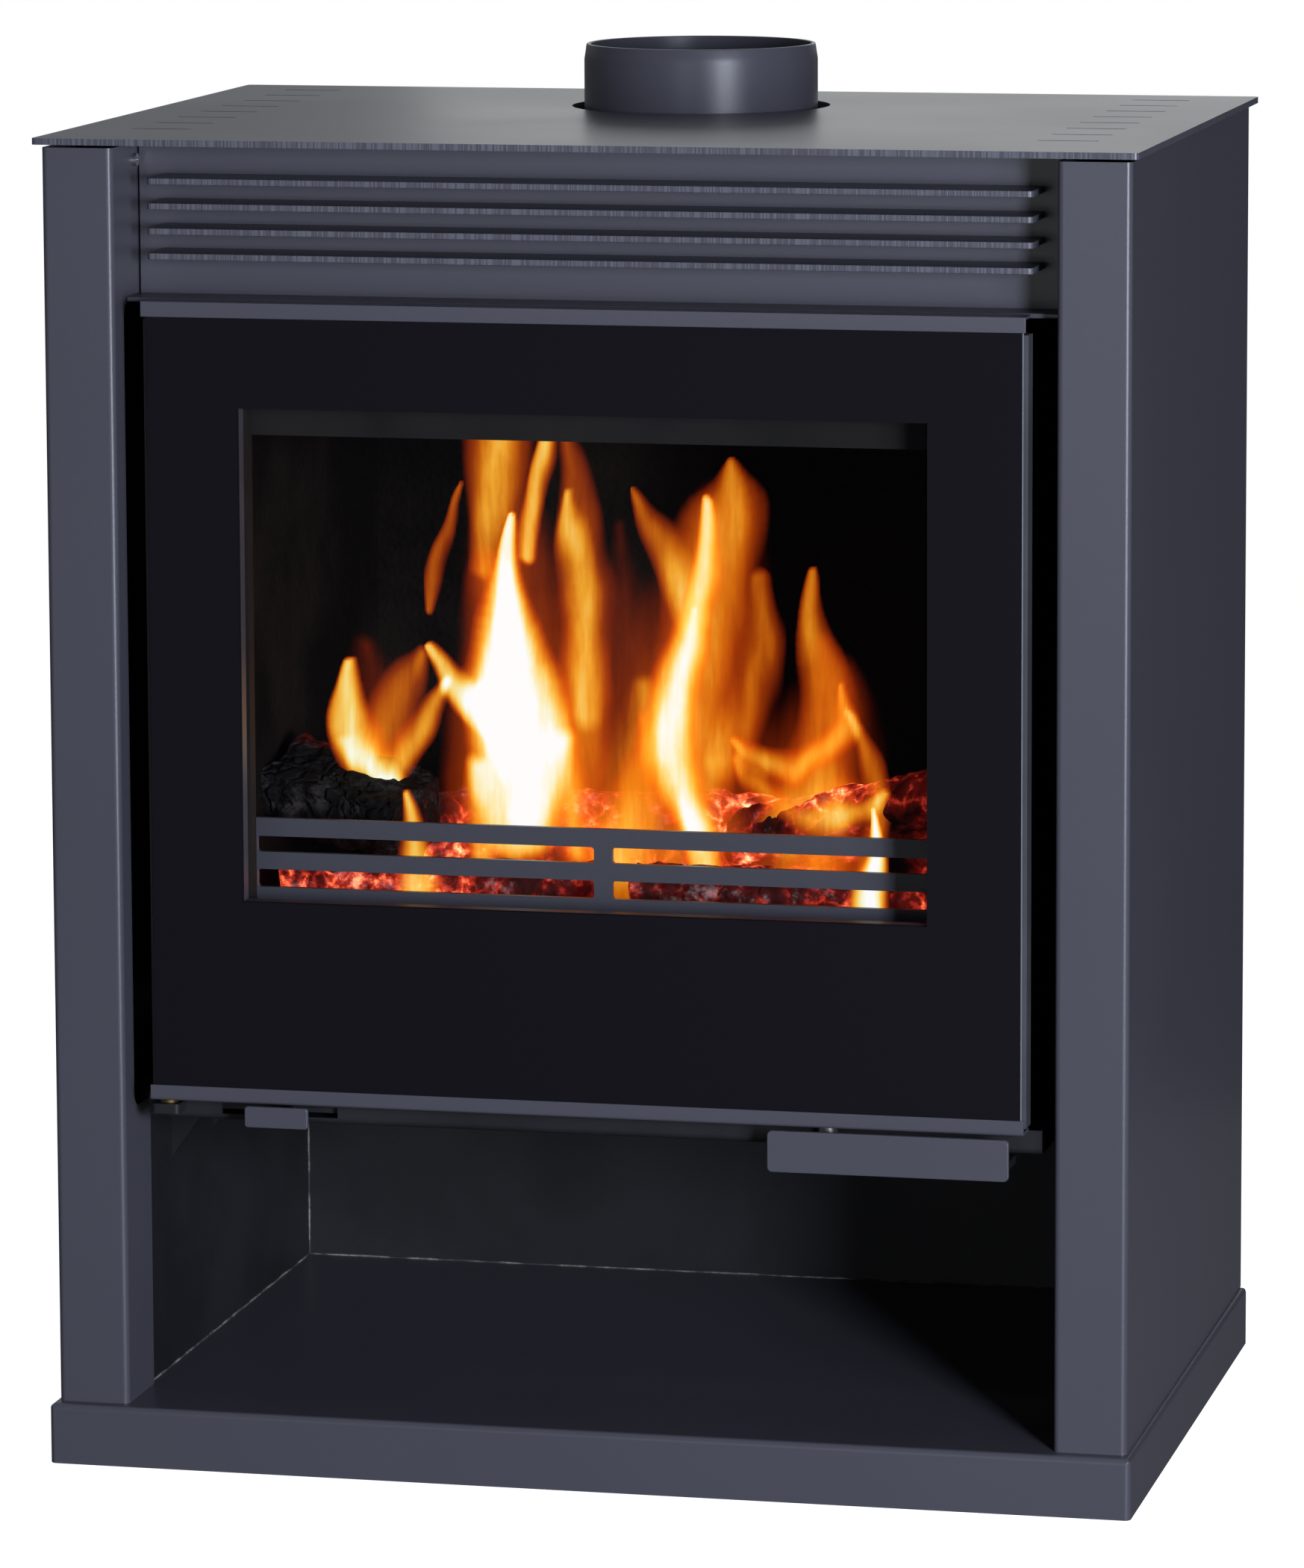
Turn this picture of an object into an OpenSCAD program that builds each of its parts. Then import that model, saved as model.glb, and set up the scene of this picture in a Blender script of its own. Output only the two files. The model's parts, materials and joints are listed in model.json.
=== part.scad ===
// Wood burning stove on a plinth, with a glazed door, a louvred fascia, a flue
// collar on top and an open log store underneath.
// Millimetres. +Z is up, the front faces -Y, and the origin is on the floor under
// the middle of the stove.
//
// "Depth" below means the distance behind the front face of the posts.

/* [Casing] */
// Width over the two side panels
body_w = 673; // [640:1:720]
// Depth of the side panels, front face to rear edge
body_d = 468; // [460:1:500]
// Height of the upper face of the top plate
stove_h = 826; // [822:1:860]
// Width of the front face of each post
post_w = 45; // [42:1:60]
// Thickness of the casing's sheet steel
sheet_t = 3; // [2:0.5:3]
// Outside radius of the casing's folds
fold_r = 4; // [3.5:0.5:6]
// How far each post's inner return goes back beside the louvres and the log store
return_depth = 55; // [50:1:60]
// How far the return goes back beside the door
notch_depth = 21; // [18:1:30]
// Width of the flange folded in at the rear edge of each side panel
rear_flange_w = 20; // [12:1:30]

/* [Top plate] */
// Width of the top plate
top_w = 682; // [674:1:700]
// Thickness of the top plate
top_t = 4; // [3:0.5:6]
// How far the top plate stands out in front of the posts
top_front = 5.5; // [2:0.5:8]
// How far the top plate stands out behind the side panels
top_rear = 9; // [5:1:12]
// Shadow gap between the side panels and the top plate
top_gap = 2; // [1:0.5:4]
// Air slots in each row of the top plate
slot_count = 8; // [4:1:8]
// Length of an air slot
slot_len = 38; // [20:1:45]
// Width of an air slot
slot_w = 3.2; // [2:0.1:4]
// Distance from one air slot to the next
slot_pitch = 50; // [40:1:50]
// Distance from the side of the top plate to the middle of an air slot
slot_inset = 57; // [50:1:65]

/* [Plinth] */
// Width of the plinth
base_w = 681; // [674:1:700]
// Height of the plinth
base_h = 38; // [30:1:45]
// How far the plinth stands out in front of the posts
base_front = 9; // [2:0.5:10]
// How far the plinth stays back from the rear edge of the side panels
base_rear_inset = 3; // [0:1:6]

/* [Flue collar] */
// Outside diameter of the collar
flue_d = 150; // [148:1:152]
// Inside diameter of the collar
flue_bore_d = 142; // [140:1:143]
// Outside diameter of the collar at its swaged rim
flue_rim_d = 147; // [146:0.5:147.5]
// Height of the rim above the top plate
collar_h = 40; // [30:1:60]
// Height of the swaged end
swage_h = 10; // [6:1:14]
// Depth of the collar's centre
collar_depth = 341; // [335:1:342]
// Diameter of the hole in the top plate round the collar
collar_hole_d = 166; // [160:1:170]

/* [Louvres] */
// Width of a fin
fin_w = 549; // [480:1:560]
// Depth of a fin, front edge to back edge
fin_d = 40; // [25:1:44]
// Thickness of a fin
fin_t = 4; // [3:0.5:5]
// Distance from one fin to the next
fin_pitch = 15.3; // [12:0.1:16]
// Height of the top fin's upper face
fin_top = 801; // [796:1:804]

/* [Door] */
// Width of the door frame
door_w = 548; // [530:1:552]
// Height of the door's lower edge
door_bottom = 232.5; // [230:0.5:236]
// Height of the door's upper edge
door_top = 727.5; // [720:0.5:727.5]
// Height of the trim strips over and under the glass
trim_h = 9.5; // [8:0.5:14]
// Thickness of the trim sheet
trim_t = 2; // [1.5:0.5:2]
// Thickness of the ceramic glass
glass_t = 4; // [4:0.5:4.5]
// Width of the clear window
window_w = 428; // [400:1:428]
// Height of the window's lower edge
window_bottom = 358; // [350:1:380]
// Height of the window's upper edge
window_top = 663; // [640:1:670]
// Thickness of the door frame's sheet steel
door_sheet_t = 3; // [2:0.5:3]
// Diameter of the fibre rope seal
rope_d = 13.5; // [10:0.5:13.5]

/* [Hinges and latch] */
// Diameter of the hinge pins and of the handle's pivot pin
pin_d = 8; // [6:1:8]
// Radial running clearance round a pin
pin_clearance = 0.05; // [0.02:0.01:0.1]
// Distance from the door's left edge to the hinge axis
hinge_inset = 8; // [8:0.5:10]
// Depth of the hinge axis
hinge_depth = 11.5; // [11.5:0.1:11.8]

/* [Handle and air control] */
// Width of the handle plate
handle_w = 148.5; // [120:0.5:160]
// Height of the handle plate
handle_h = 25.5; // [20:0.5:26]
// Distance from the right edge of the door to the handle plate
handle_inset = 9; // [6:0.5:20]
// Width of the air control's tab
tab_w = 40; // [30:1:50]
// Height of the air control's tab
tab_h = 13; // [10:0.5:13]
// Thickness of the handle plate and of the tab
grip_t = 4; // [3:0.5:5]
// Distance from the stove's middle to the air control at mid travel
air_x = 197; // [180:1:200]
// Travel of the air control each way from the middle
air_travel = 30; // [20:1:30]

/* [Firebox] */
// Width over the firebox's side plates
box_w = 524; // [520:1:530]
// Thickness of the firebox's steel plate
plate_t = 5; // [4:0.5:6]
// Depth of the firebox's rear face
box_rear = 425; // [422:1:428]
// Height of the upper face of the firebox's roof
box_top = 722; // [718:1:722]
// Height of the hearth's upper face
hearth_top = 330; // [320:1:335]
// Thickness of the hearth
hearth_t = 25; // [20:1:30]
// Thickness of the fire bricks
brick_t = 25; // [20:1:25]
// Height of the top of the side and rear bricks
brick_top = 640; // [600:1:650]
// Height of the log retainer's top edge
retainer_top = 401; // [395:1:410]
// Depth of the log retainer's front face
retainer_depth = 57; // [55:1:60]

/* [Log store] */
// Height of the log store's ceiling, the underside of the air box
store_top = 217; // [215:1:218]
// Width between the log store's side walls
store_w = 589.4; // [585:0.1:590]
// Depth of the log store's back wall
store_rear = 432; // [430:1:436]

/* [Hidden] */

$fn = 48;
eps = 0.01;

anthracite = "#4b4c57";
dark_steel = "#26272b";
black_paint = "#1b1b1f";
vermiculite = "#b9ab8f";
bright_steel = "#b9bcc1";

// Plan and height references shared by several parts
box_bottom = store_top + 15;
side_x = body_w / 2;
return_x = side_x - post_w;
side_top = stove_h - top_t - top_gap;
box_x = box_w / 2;
store_x = store_w / 2;

// Depths of the firebox's and the door's layers
panel_depth = 55;
panel_t = 3;
shelf_front = 26;
airbox_front = 18;
airbox_rear = 220;
airbox_x = 281;
airbox_t = 2;
frame_front = 20.3;
frame_rim_rear = 32;
opening_bottom = 258;
opening_top = 690;
floor_top = opening_bottom;
deflector_z = 690;
box_inner_rear = box_rear - plate_t;
lining_x = box_x - plate_t - brick_t;

door_x = door_w / 2;
trim_front = -4;
glass_front = -1.5;
glass_rear = glass_front + glass_t;
gasket_t = 1;
tray_front = glass_rear + gasket_t;
tray_inner = tray_front + door_sheet_t;
tray_rear = 18;
hinge_side_rear = 13;
tray_bottom = door_bottom + trim_t + 1.5;
tray_top = door_top - trim_h - 2;
glass_x = door_x - 2.5;
glass_bottom = door_bottom + 4;
glass_top = door_top - 4;

hinge_x = -(door_x - hinge_inset);
pin_r = pin_d / 2;
bore_r = pin_r + pin_clearance;
hinge_block_h = 22;
hinge_block_rear = 16.5;
handle_left = door_x - handle_inset - handle_w;
handle_top = door_bottom - 2;
handle_pin_x = handle_left + 34;
handle_pin_depth = 11.5;
lever_bottom = 207;
lever_t = 5;
boss_h = 5;

slide_bottom = 223;
slide_t = 3;
arm_w = 14;

// Y of a point that lies the given depth behind the front of the posts
function at_depth(depth) = depth - body_d / 2;

// Box between two corners, each [x, depth, z]
module block(low, high) {
    translate([low[0], at_depth(low[1]), low[2]]) cube(high - low);
}

// Flat rectangle from [0, 0] with a radius on all four corners
module rounded_plate(size, radius) {
    translate([radius, 0]) square([size[0] - 2 * radius, size[1]]);
    translate([0, radius]) square([size[0], size[1] - 2 * radius]);
    for (x = [radius, size[0] - radius], y = [radius, size[1] - radius])
        translate([x, y]) circle(r = radius);
}

// Slab between two corners, each [x, depth, z], with rounded upright corners
module rounded_slab(low, high, radius) {
    translate([low[0], at_depth(low[1]), low[2]])
        linear_extrude(high[2] - low[2]) rounded_plate([high[0] - low[0], high[1] - low[1]], radius);
}

// Plate facing the front, between two corners, with a radius on its four corners
module rounded_face(low, high, radius) {
    translate([low[0], at_depth(high[1]), low[2]]) rotate([90, 0, 0])
        linear_extrude(high[1] - low[1]) rounded_plate([high[0] - low[0], high[2] - low[2]], radius);
}

// Profile in the depth and Z plane, extruded from x0 to x1
module across(x0, x1) {
    translate([x0, at_depth(0), 0]) rotate([90, 0, 90]) linear_extrude(x1 - x0) children();
}

// Upright cylinder at a point of the plan
module upright(x, depth, z0, z1, radius) {
    translate([x, at_depth(depth), z0]) cylinder(r = radius, h = z1 - z0);
}

// Cylinder along depth
module bolt_back(x, z, depth0, depth1, radius) {
    translate([x, at_depth(depth1), z]) rotate([90, 0, 0]) cylinder(r = radius, h = depth1 - depth0);
}

module both_sides() {
    children();
    mirror([1, 0, 0]) children();
}

// ---------- casing ----------

// Plan of the left side panel: rear flange, side, front face and inner return
module side_panel_plan() {
    difference() {
        rounded_plate([post_w, body_d], fold_r);
        translate([sheet_t, sheet_t])
            rounded_plate([post_w - 2 * sheet_t, body_d - 2 * sheet_t], fold_r - sheet_t);
        translate([fold_r, return_depth]) square([post_w, body_d - return_depth - 2 * fold_r]);
        translate([rear_flange_w, body_d - 3 * fold_r]) square([post_w, 4 * fold_r]);
    }
}

module left_side_panel_shape() {
    notch_corner = 9;
    notch_low = 222;
    notch_high = 723;
    screw_hole_r = 2.1;
    difference() {
        translate([-side_x, at_depth(0), base_h]) linear_extrude(side_top - base_h) side_panel_plan();
        across(-return_x - sheet_t - 1, -return_x + 1)
            translate([notch_depth, notch_low])
                rounded_plate([return_depth, notch_high - notch_low], notch_corner);
        translate([-return_x - sheet_t - 1, at_depth(fascia_screw_depth), fascia_screw_z])
            rotate([0, 90, 0]) cylinder(r = screw_hole_r, h = sheet_t + 2);
        for (z = rear_screw_zs)
            bolt_back(-rear_screw_x, z, body_d - sheet_t - 1, body_d + 1, rear_screw_r + 0.1);
    }
}

module left_side_panel() {
    color(anthracite) left_side_panel_shape();
}

module right_side_panel() {
    color(anthracite) mirror([1, 0, 0]) left_side_panel_shape();
}

// Folded tray, open underneath, with rolled upper edges
module plinth() {
    base_low = -base_front;
    base_high = body_d - base_rear_inset;
    base_d = base_high - base_low;
    color(anthracite) difference() {
        intersection() {
            rounded_slab([-base_w / 2, base_low, 0], [base_w / 2, base_high, base_h], fold_r);
            across(-base_w / 2, base_w / 2)
                translate([base_low, -2 * fold_r]) rounded_plate([base_d, base_h + 2 * fold_r], fold_r);
            translate([0, at_depth(base_high), 0]) rotate([90, 0, 0]) linear_extrude(base_d)
                translate([-base_w / 2, -2 * fold_r]) rounded_plate([base_w, base_h + 2 * fold_r], fold_r);
        }
        rounded_slab([-base_w / 2 + sheet_t, base_low + sheet_t, -1],
                     [base_w / 2 - sheet_t, base_high - sheet_t, base_h - sheet_t], 1);
    }
}

rear_screw_x = side_x - 10;
rear_screw_r = 2;
rear_screw_zs = [90, 430, 770];
back_t = 2;

// Rear sheet behind the side panels' flanges, slotted for convection air
module back_panel() {
    panel_low = body_d - sheet_t - back_t;
    vent_len = 60;
    vent_h = 6;
    vent_x_count = 5;
    vent_x_pitch = 90;
    color(anthracite) difference() {
        block([-side_x + fold_r, panel_low, base_h], [side_x - fold_r, panel_low + back_t, side_top]);
        for (row = [0:2], column = [0:vent_x_count - 1], low_z = [252, 740])
            rounded_face([(column - (vent_x_count - 1) / 2) * vent_x_pitch - vent_len / 2,
                          panel_low - 1, low_z + row * 18],
                         [(column - (vent_x_count - 1) / 2) * vent_x_pitch + vent_len / 2,
                          panel_low + back_t + 1, low_z + row * 18 + vent_h], vent_h / 2 - eps);
        for (x = [-rear_screw_x, rear_screw_x], z = rear_screw_zs)
            bolt_back(x, z, panel_low - 1, panel_low + back_t + 1, rear_screw_r + 0.1);
    }
}

module back_panel_screws() {
    head_r = 4;
    head_h = 2.2;
    shank_len = 9;
    color(bright_steel) for (x = [-rear_screw_x, rear_screw_x], z = rear_screw_zs) {
        difference() {
            bolt_back(x, z, body_d, body_d + head_h, head_r);
            bolt_back(x, z, body_d + head_h - 1, body_d + head_h + 1, 1.6);
        }
        bolt_back(x, z, body_d - shank_len, body_d + eps, rear_screw_r);
    }
}

// Flat plate with a row of air slots down each side and a hole for the collar
module top_plate() {
    plate_corner = 3;
    middle_depth = 257;
    color(anthracite) difference() {
        rounded_slab([-top_w / 2, -top_front, stove_h - top_t],
                     [top_w / 2, body_d + top_rear, stove_h], plate_corner);
        upright(0, collar_depth, stove_h - top_t - 1, stove_h + 1, collar_hole_d / 2);
        both_sides() for (i = [0:slot_count - 1])
            rounded_slab([top_w / 2 - slot_inset - slot_len / 2,
                          middle_depth + (i - (slot_count - 1) / 2) * slot_pitch - slot_w / 2,
                          stove_h - top_t - 1],
                         [top_w / 2 - slot_inset + slot_len / 2,
                          middle_depth + (i - (slot_count - 1) / 2) * slot_pitch + slot_w / 2,
                          stove_h + 1], slot_w / 2 - eps);
    }
}

// Angle that stiffens a side panel and carries the top plate
module top_rail_shape() {
    rail_w = 16;
    rail_h = 24;
    rail_front = 70;
    rail_rear = 440;
    rail_outer = side_x - sheet_t;
    block([rail_outer - rail_w, rail_front, stove_h - top_t - sheet_t],
          [rail_outer, rail_rear, stove_h - top_t]);
    block([rail_outer - sheet_t, rail_front, stove_h - top_t - rail_h],
          [rail_outer, rail_rear, stove_h - top_t - sheet_t]);
}

module top_rail_right() {
    color(dark_steel) top_rail_shape();
}

module top_rail_left() {
    color(dark_steel) mirror([1, 0, 0]) top_rail_shape();
}

// ---------- louvres ----------

// Upright panel behind the fins, with a shelf folded forward at its foot
module louvre_panel() {
    panel_x = return_x - 0.5;
    shelf_top = door_top - 0.5;
    panel_top = stove_h - top_t - 1;
    color(anthracite) across(-panel_x, panel_x) {
        translate([panel_depth, shelf_top - panel_t])
            square([panel_t, panel_top - shelf_top + panel_t]);
        translate([shelf_front, shelf_top - panel_t]) square([panel_depth - shelf_front, panel_t]);
    }
}

// One fin, counted from the top
module louvre_fin(index) {
    fin_corner = 3;
    top_z = fin_top - index * fin_pitch;
    color(anthracite) difference() {
        rounded_slab([-fin_w / 2, panel_depth - fin_d, top_z - fin_t],
                     [fin_w / 2, panel_depth + 2 * fin_corner, top_z], fin_corner);
        block([-fin_w / 2 - 1, panel_depth, top_z - fin_t - 1],
              [fin_w / 2 + 1, panel_depth + 3 * fin_corner, top_z + 1]);
    }
}

fascia_screw_depth = 45.7;
fascia_screw_z = 809.7;

// Pan head screws through the inner returns
module fascia_screws() {
    head_r = 4;
    head_h = 2.6;
    recess_r = 1.7;
    color(bright_steel) both_sides()
        translate([-return_x, at_depth(fascia_screw_depth), fascia_screw_z]) rotate([0, 90, 0]) {
            difference() {
                cylinder(r = head_r, h = head_h);
                translate([0, 0, head_h - 1.2]) cylinder(r = recess_r, h = 2);
            }
            translate([0, 0, -8]) cylinder(r = 2, h = 8 + eps);
        }
}

// ---------- log store ----------

module store_side_wall() {
    block([-store_x - 2, return_depth - 3, base_h], [-store_x, store_rear + 2, box_bottom]);
}

module store_left_wall() {
    color(dark_steel) store_side_wall();
}

module store_right_wall() {
    color(dark_steel) mirror([1, 0, 0]) store_side_wall();
}

module store_back_wall() {
    color(dark_steel) block([-store_x, store_rear, base_h], [store_x, store_rear + 2, box_bottom]);
}

// Triangular plates between the store's walls and the firebox's underside
module firebox_gussets() {
    gusset_w = 32;
    gusset_h = 45;
    gusset_t = 5;
    color(dark_steel) both_sides() for (depth = [112, 205])
        translate([-store_x, at_depth(depth + gusset_t), 0]) rotate([90, 0, 0])
            linear_extrude(gusset_t)
                polygon([[0, store_top - gusset_h], [gusset_w, store_top], [0, store_top]]);
}

// ---------- firebox ----------

module firebox_side_plate() {
    block([-box_x, frame_front + plate_t, box_bottom], [-box_x + plate_t, box_rear, box_top - plate_t]);
}

module firebox_left_plate() {
    color(dark_steel) firebox_side_plate();
}

module firebox_right_plate() {
    color(dark_steel) mirror([1, 0, 0]) firebox_side_plate();
}

module firebox_rear_plate() {
    color(dark_steel) block([-box_x + plate_t, box_inner_rear, box_bottom],
                            [box_x - plate_t, box_rear, box_top - plate_t]);
}

module firebox_roof() {
    color(dark_steel) difference() {
        block([-box_x, frame_front + plate_t, box_top - plate_t], [box_x, box_rear, box_top]);
        upright(0, collar_depth, box_top - plate_t - 1, box_top + 1, flue_bore_d / 2);
    }
}

module firebox_floor() {
    color(dark_steel) block([-box_x + plate_t, frame_front + plate_t, floor_top - plate_t],
                            [box_x - plate_t, box_inner_rear, floor_top]);
}

// Front plate with the door opening, whose edge is turned inwards
module firebox_front_frame() {
    opening_x = window_w / 2;
    rim_t = 4;
    color(dark_steel) difference() {
        union() {
            block([-box_x, frame_front, box_bottom], [box_x, frame_front + plate_t, box_top]);
            block([-opening_x - rim_t, frame_front + plate_t, floor_top],
                  [opening_x + rim_t, frame_rim_rear, opening_top + rim_t]);
        }
        block([-opening_x, frame_front - 1, opening_bottom], [opening_x, frame_rim_rear + 1, opening_top]);
    }
}

// Tube welded on the roof, swaged at its rim to take the flue pipe
module flue_collar() {
    rim_z = stove_h + collar_h;
    color(anthracite) translate([0, at_depth(collar_depth), 0]) rotate_extrude($fn = 96)
        polygon([[flue_bore_d / 2, box_top], [flue_d / 2, box_top], [flue_d / 2, rim_z - swage_h],
                 [flue_rim_d / 2, rim_z], [flue_bore_d / 2, rim_z]]);
}

// Sheet tray under the firebox that leads the combustion air, slotted for the control
module air_box() {
    slot_low = slide_bottom - 2;
    slot_high = slide_bottom + slide_t + 1.5;
    half_slot = air_travel + arm_w / 2;
    color(dark_steel) difference() {
        across(-airbox_x, airbox_x) difference() {
            translate([airbox_front, store_top])
                rounded_plate([airbox_rear - airbox_front, box_bottom - store_top + 2 * fold_r], fold_r);
            translate([airbox_front + airbox_t, store_top + airbox_t])
                square([airbox_rear - airbox_front - 2 * airbox_t, box_bottom]);
            translate([airbox_front - 1, box_bottom]) square([airbox_rear, 4 * fold_r]);
        }
        block([-air_x - half_slot, airbox_front - 1, slot_low],
              [-air_x + half_slot, airbox_front + airbox_t + 1, slot_high]);
    }
    color(dark_steel) both_sides()
        block([-airbox_x, airbox_front + airbox_t, store_top + airbox_t],
              [-airbox_x + airbox_t, airbox_rear - airbox_t, box_bottom]);
}

module side_brick() {
    block([-box_x + plate_t, retainer_depth + 8, hearth_top],
          [-lining_x, box_inner_rear - brick_t, brick_top]);
}

module brick_left() {
    color(vermiculite) side_brick();
}

module brick_right() {
    color(vermiculite) mirror([1, 0, 0]) side_brick();
}

module brick_rear() {
    color(vermiculite) block([-box_x + plate_t, box_inner_rear - brick_t, hearth_top],
                             [box_x - plate_t, box_inner_rear, brick_top]);
}

grate_x = 110;
grate_front = 130;
grate_rear = 310;
grate_t = 14;
grate_step = 10;

// Hearth slab with a stepped opening for the grate
module hearth() {
    color(vermiculite) difference() {
        block([-box_x + plate_t, frame_rim_rear + 1, hearth_top - hearth_t],
              [box_x - plate_t, box_inner_rear, hearth_top]);
        block([-grate_x, grate_front, hearth_top - grate_t], [grate_x, grate_rear, hearth_top + 1]);
        block([-grate_x + grate_step, grate_front + grate_step, hearth_top - hearth_t - 1],
              [grate_x - grate_step, grate_rear - grate_step, hearth_top]);
    }
}

module grate() {
    slot_count_x = 9;
    grate_slot_w = 9;
    grate_pitch = 21;
    gap = 0.5;
    color("#3a3a3d") difference() {
        block([-grate_x + gap, grate_front + gap, hearth_top - grate_t],
              [grate_x - gap, grate_rear - gap, hearth_top]);
        for (i = [0:slot_count_x - 1], half = [0, 1])
            rounded_slab([(i - (slot_count_x - 1) / 2) * grate_pitch - grate_slot_w / 2,
                          grate_front + 20 + half * 75, hearth_top - grate_t - 1],
                         [(i - (slot_count_x - 1) / 2) * grate_pitch + grate_slot_w / 2,
                          grate_front + 85 + half * 75, hearth_top + 1], grate_slot_w / 2 - eps);
    }
}

// Lift-out slab over the fire, resting on the bricks
module baffle_plate() {
    color(vermiculite) block([-box_x + plate_t + 1, 160, brick_top],
                             [box_x - plate_t - 1, box_inner_rear - 1, brick_top + 22]);
}

// Upper steel plate that sends the smoke round once more before the collar
module smoke_deflector() {
    color(dark_steel) {
        block([-box_x + plate_t, 36, deflector_z],
              [box_x - plate_t, 250, deflector_z + 3]);
        block([-box_x + plate_t, 250, deflector_z], [box_x - plate_t, 253, deflector_z + 12]);
    }
}

// Folded strip behind the top of the window that sends air down the glass
module air_wash_plate() {
    wash_depth = 36;
    wash_bottom = 642.5;
    wash_t = 3;
    color(dark_steel) across(-box_x + plate_t, box_x - plate_t) {
        translate([wash_depth, wash_bottom]) square([wash_t, deflector_z - wash_bottom]);
        translate([wash_depth + wash_t, wash_bottom]) square([10, wash_t]);
    }
}

// Laser-cut plate that keeps the logs off the glass
module log_retainer() {
    retainer_x = lining_x - 2;
    retainer_t = 4;
    slot_x = 220.7;
    middle_bar_w = 11.5;
    slots = [[357.5, 368.7], [379.6, 389.5]];
    slot_corner = 2;
    color(anthracite) difference() {
        rounded_face([-retainer_x, retainer_depth, hearth_top],
                     [retainer_x, retainer_depth + retainer_t, retainer_top], slot_corner);
        both_sides() for (slot = slots)
            rounded_face([middle_bar_w / 2, retainer_depth - 1, slot[0]],
                         [slot_x, retainer_depth + retainer_t + 1, slot[1]], slot_corner);
    }
}

// Angles on the hearth that the retainer leans on
module retainer_brackets() {
    color(dark_steel) both_sides() {
        block([150, retainer_depth + 4, hearth_top], [180, retainer_depth + 7, hearth_top + 24]);
        block([150, retainer_depth + 7, hearth_top], [180, retainer_depth + 25, hearth_top + 3]);
    }
}

ash_x = 125;
ash_front = 40;
ash_bottom = floor_top;
ash_top = 298;

module ash_pan() {
    ash_rear = 330;
    ash_t = 1.5;
    color(dark_steel) difference() {
        rounded_slab([-ash_x, ash_front, ash_bottom], [ash_x, ash_rear, ash_top], 3);
        rounded_slab([-ash_x + ash_t, ash_front + ash_t, ash_bottom + ash_t],
                     [ash_x - ash_t, ash_rear - ash_t, ash_top + 1], 2);
    }
}

// Folded grip on the front of the ash pan
module ash_pan_handle() {
    grip_x = 35;
    color(dark_steel) difference() {
        block([-grip_x, ash_front - 9, 268], [grip_x, ash_front, 284]);
        block([-grip_x + 2, ash_front - 7, 267], [grip_x - 2, ash_front + 1, 282]);
    }
}

// ---------- hinges and latch on the firebox ----------

lower_bracket_top = 229;
lower_bracket_t = 6;
upper_bracket_low = tray_top + 1.2;
upper_bracket_t = 2.8;

module hinge_bracket_lower() {
    color(dark_steel) difference() {
        rounded_slab([hinge_x - 9, 1.5, lower_bracket_top - lower_bracket_t],
                     [hinge_x + 9, airbox_front, lower_bracket_top], 3);
        upright(hinge_x, hinge_depth, lower_bracket_top - lower_bracket_t - 1, lower_bracket_top + 1, pin_r);
    }
}

module hinge_bracket_upper() {
    eye_r = 7;
    arm_len = 25;
    high = upper_bracket_low + upper_bracket_t;
    color(dark_steel) difference() {
        union() {
            upright(hinge_x, hinge_depth, upper_bracket_low, high, eye_r);
            block([hinge_x - 1, hinge_depth, upper_bracket_low], [hinge_x + arm_len, frame_front, high]);
        }
        upright(hinge_x, hinge_depth, upper_bracket_low - 1, high + 1, pin_r);
    }
}

lower_block_low = tray_bottom + door_sheet_t;
upper_block_high = tray_top - door_sheet_t;

// Fixed pins: one stands up into the door, the other hangs down into it
module hinge_pins() {
    pin_depth = 18;
    color(bright_steel) {
        upright(hinge_x, hinge_depth, lower_bracket_top - lower_bracket_t, lower_block_low + pin_depth, pin_r);
        upright(hinge_x, hinge_depth, upper_block_high - pin_depth,
                upper_bracket_low + upper_bracket_t, pin_r);
    }
}

module hinge_washer() {
    color("#b08d3c") difference() {
        upright(hinge_x, hinge_depth, lower_bracket_top, door_bottom - 0.2, pin_r + 2);
        upright(hinge_x, hinge_depth, lower_bracket_top - 1, door_bottom + 1, bore_r);
    }
}

keeper_x1 = 221;
keeper_front = 26;

// Angle under the air box that the latch tongue hooks behind
module latch_keeper() {
    keeper_w = 22;
    keeper_t = 4;
    color(dark_steel) {
        block([keeper_x1 - keeper_w, keeper_front, lever_bottom - 2],
              [keeper_x1, keeper_front + keeper_t, store_top]);
        block([keeper_x1 - keeper_w, keeper_front + keeper_t, store_top - 3],
              [keeper_x1, keeper_front + keeper_t + 16, store_top]);
    }
}

// ---------- door ----------

// Rectangular ring facing the front: half widths, heights and depths
module ring_face(outer_x, outer_z, inner_x, inner_z, depth0, depth1) {
    difference() {
        block([-outer_x, depth0, outer_z[0]], [outer_x, depth1, outer_z[1]]);
        block([-inner_x, depth0 - 1, inner_z[0]], [inner_x, depth1 + 1, inner_z[1]]);
    }
}

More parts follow.
